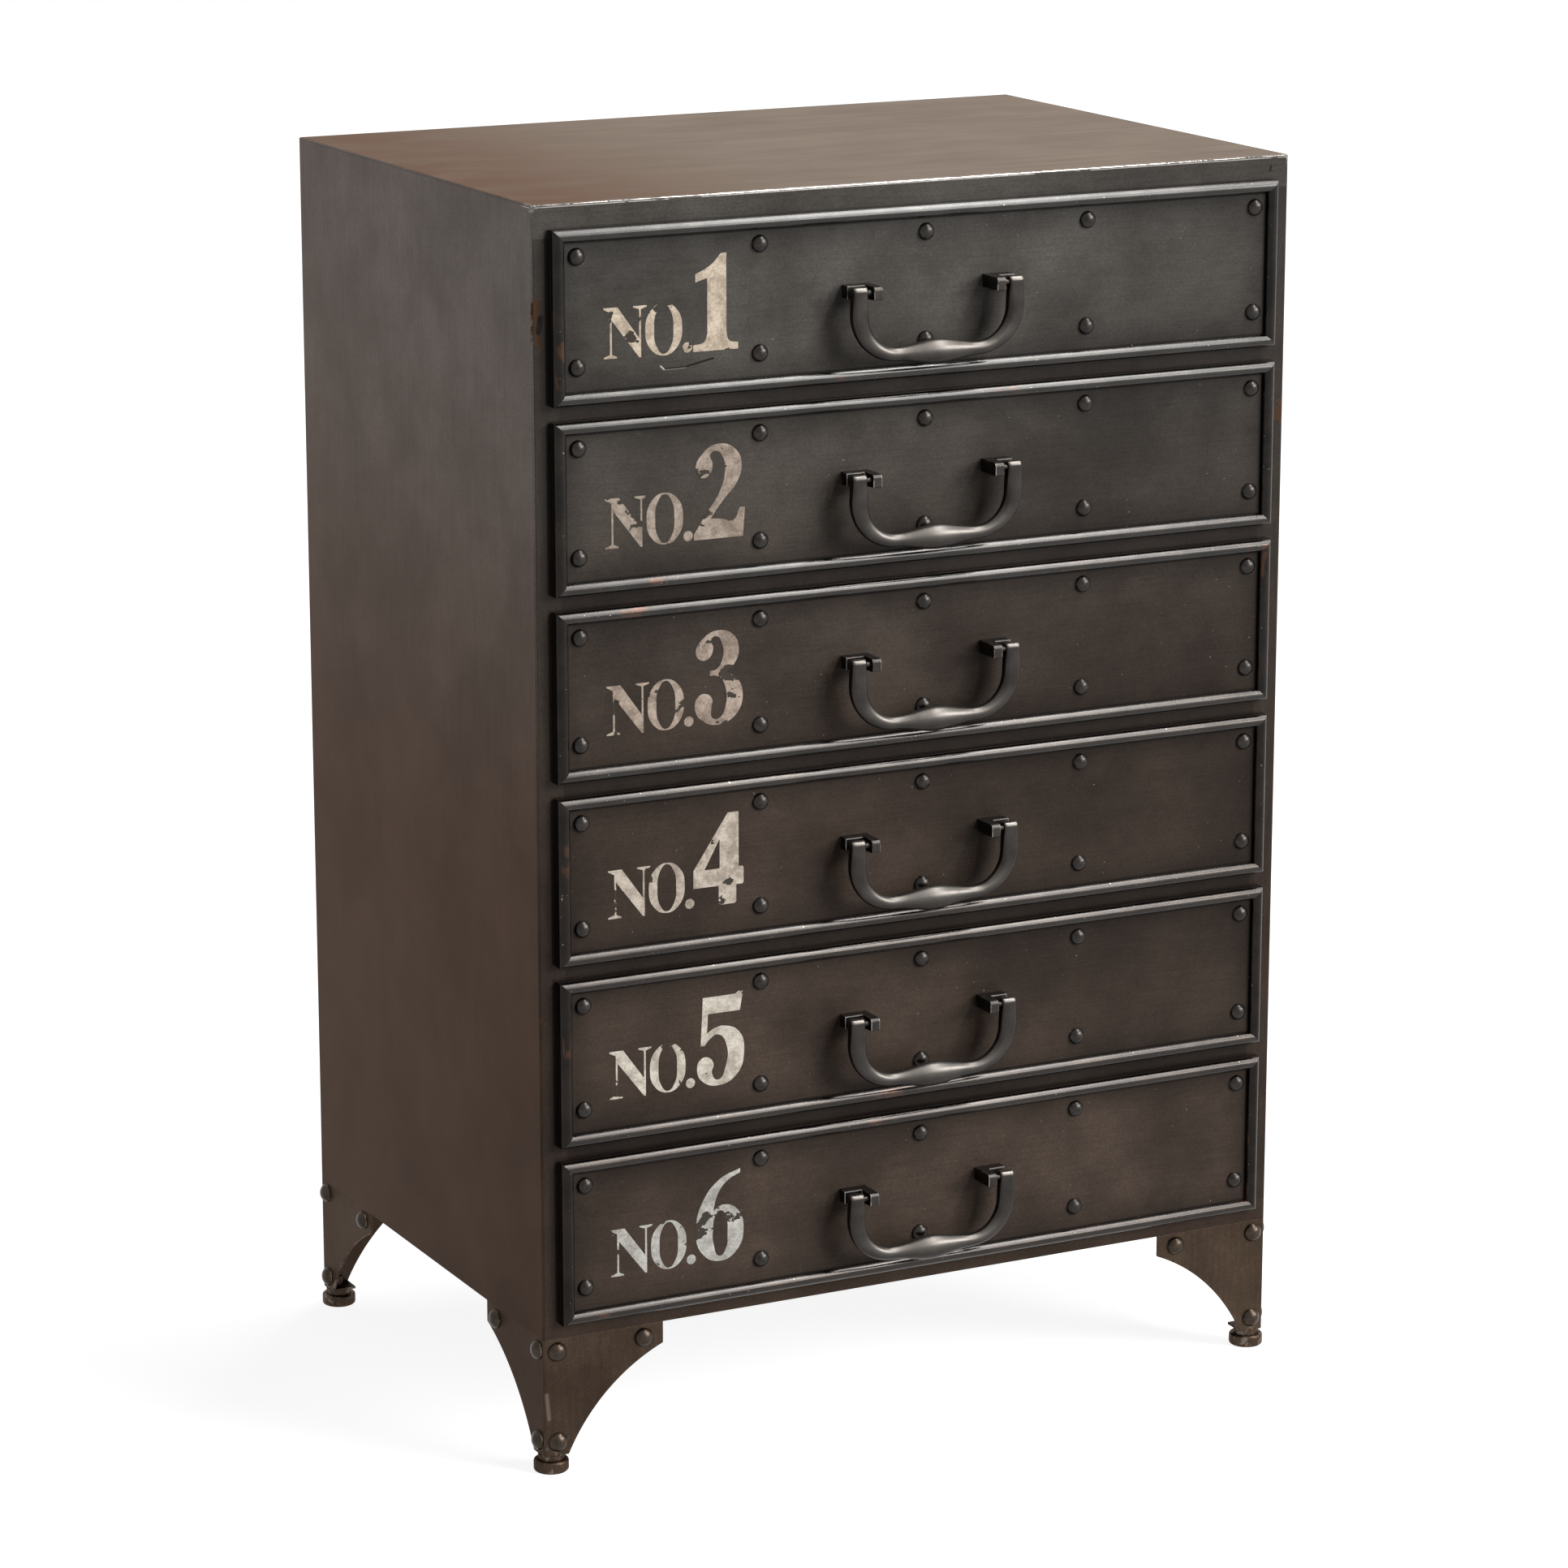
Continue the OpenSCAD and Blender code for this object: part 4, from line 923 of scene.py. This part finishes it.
# The middle of the drawer fronts, which the lamps face, in metres
LIT_PLACE = Vector((0, -0.2, 0.5))

# Strip lamps on an arc over the right half, from in front to behind: degrees above level, and watts
STRIPS = {"front strip": (31, 330), "overhead strip": (69, 640), "rear strip": (107, 290)}


def build_camera():
    """A long lens from the front left, a little above the cabinet."""
    data = bpy.data.cameras.new("camera")
    data.sensor_width = SENSOR_W
    data.lens = LENS
    camera = bpy.data.objects.new("camera", data)
    camera.location = CAMERA_PLACE
    camera.rotation_euler = (math.radians(90 - CAMERA_DOWN), 0, math.radians(-CAMERA_RIGHT))
    bpy.context.scene.collection.objects.link(camera)
    bpy.context.scene.camera = camera


def add_softbox(name, away, distance, size, power, along=(0, 0, 1)):
    """A softbox in a direction from the cabinet, facing it, with its height laid along a direction."""
    data = bpy.data.lights.new(name, "AREA")
    data.shape = "RECTANGLE"
    data.size, data.size_y = size
    data.energy = power
    lamp = bpy.data.objects.new(name, data)
    away = Vector(away).normalized()
    across = Vector(along).cross(away).normalized()
    lamp.rotation_euler = Matrix((across, away.cross(across), away)).transposed().to_euler()
    lamp.location = LIT_PLACE + away * distance
    bpy.context.scene.collection.objects.link(lamp)


def seen_directly(tree):
    """1 for what the camera sees, straight or in gloss, and 0 for light that falls on the cabinet."""
    rays = add_node(tree, "ShaderNodeLightPath").node
    seen = [rays.outputs[name] for name in ("Is Camera Ray", "Is Glossy Ray", "Is Transmission Ray")]
    both = add_node(tree, MATH, {0: seen[0], 1: seen[1]}, operation="MAXIMUM")
    return add_node(tree, MATH, {0: both, 1: seen[2]}, operation="MAXIMUM")


def build_studio():
    """A white room and floor, with a large key lamp in front on the right and strips above."""
    world = bpy.data.worlds.new("white studio")
    world.use_nodes = True
    bpy.context.scene.world = world
    tree = world.node_tree
    backdrop = tree.nodes["Background"]
    white = {"Value": seen_directly(tree), "To Min": SENT_WHITE, "To Max": SEEN_WHITE}
    strength = add_node(tree, RANGE, white)
    tree.links.new(strength, backdrop.inputs["Strength"])
    backdrop.inputs["Color"].default_value = (1, 1, 1, 1)

    bm = bmesh.new()
    bmesh.ops.create_grid(bm, x_segments=1, y_segments=1, size=FLOOR_REACH)
    mesh = bpy.data.meshes.new("studio_floor")
    bm.to_mesh(mesh)
    bm.free()
    floor = bpy.data.objects.new("studio_floor", mesh)
    bpy.context.scene.collection.objects.link(floor)
    material, tree, shader = start_finish("white studio floor")
    shader.inputs["Base Color"].default_value = (FLOOR_TONE, FLOOR_TONE, FLOOR_TONE, 1)
    shader.inputs["Roughness"].default_value = 0.9
    shader.inputs["Emission Color"].default_value = (1, 1, 1, 1)
    glow = add_node(tree, MATH, {0: seen_directly(tree), 1: FLOOR_GLOW}, operation="MULTIPLY")
    tree.links.new(glow, shader.inputs["Emission Strength"])
    mesh.materials.append(material)

    add_softbox("key softbox", (0.69, -0.64, 0.33), 16, (5.2, 5.2), 2050)
    for name, (rise, power) in STRIPS.items():
        up, out = math.sin(math.radians(rise)), math.cos(math.radians(rise))
        add_softbox(name, (0.46, -0.888 * out, 0.888 * up), 9, (1.1, 6.2), power, (0, up, out))


bpy.context.scene.view_settings.view_transform = "Standard"
build_camera()
build_studio()
build_case()
add_rivets("leg_round_heads", leg_rivet_spots(), LEG_RIVET, leg_rivet_finish, "cabinet", ["leg_rivets"])
for n in DRAWERS:
    build_drawer(n)
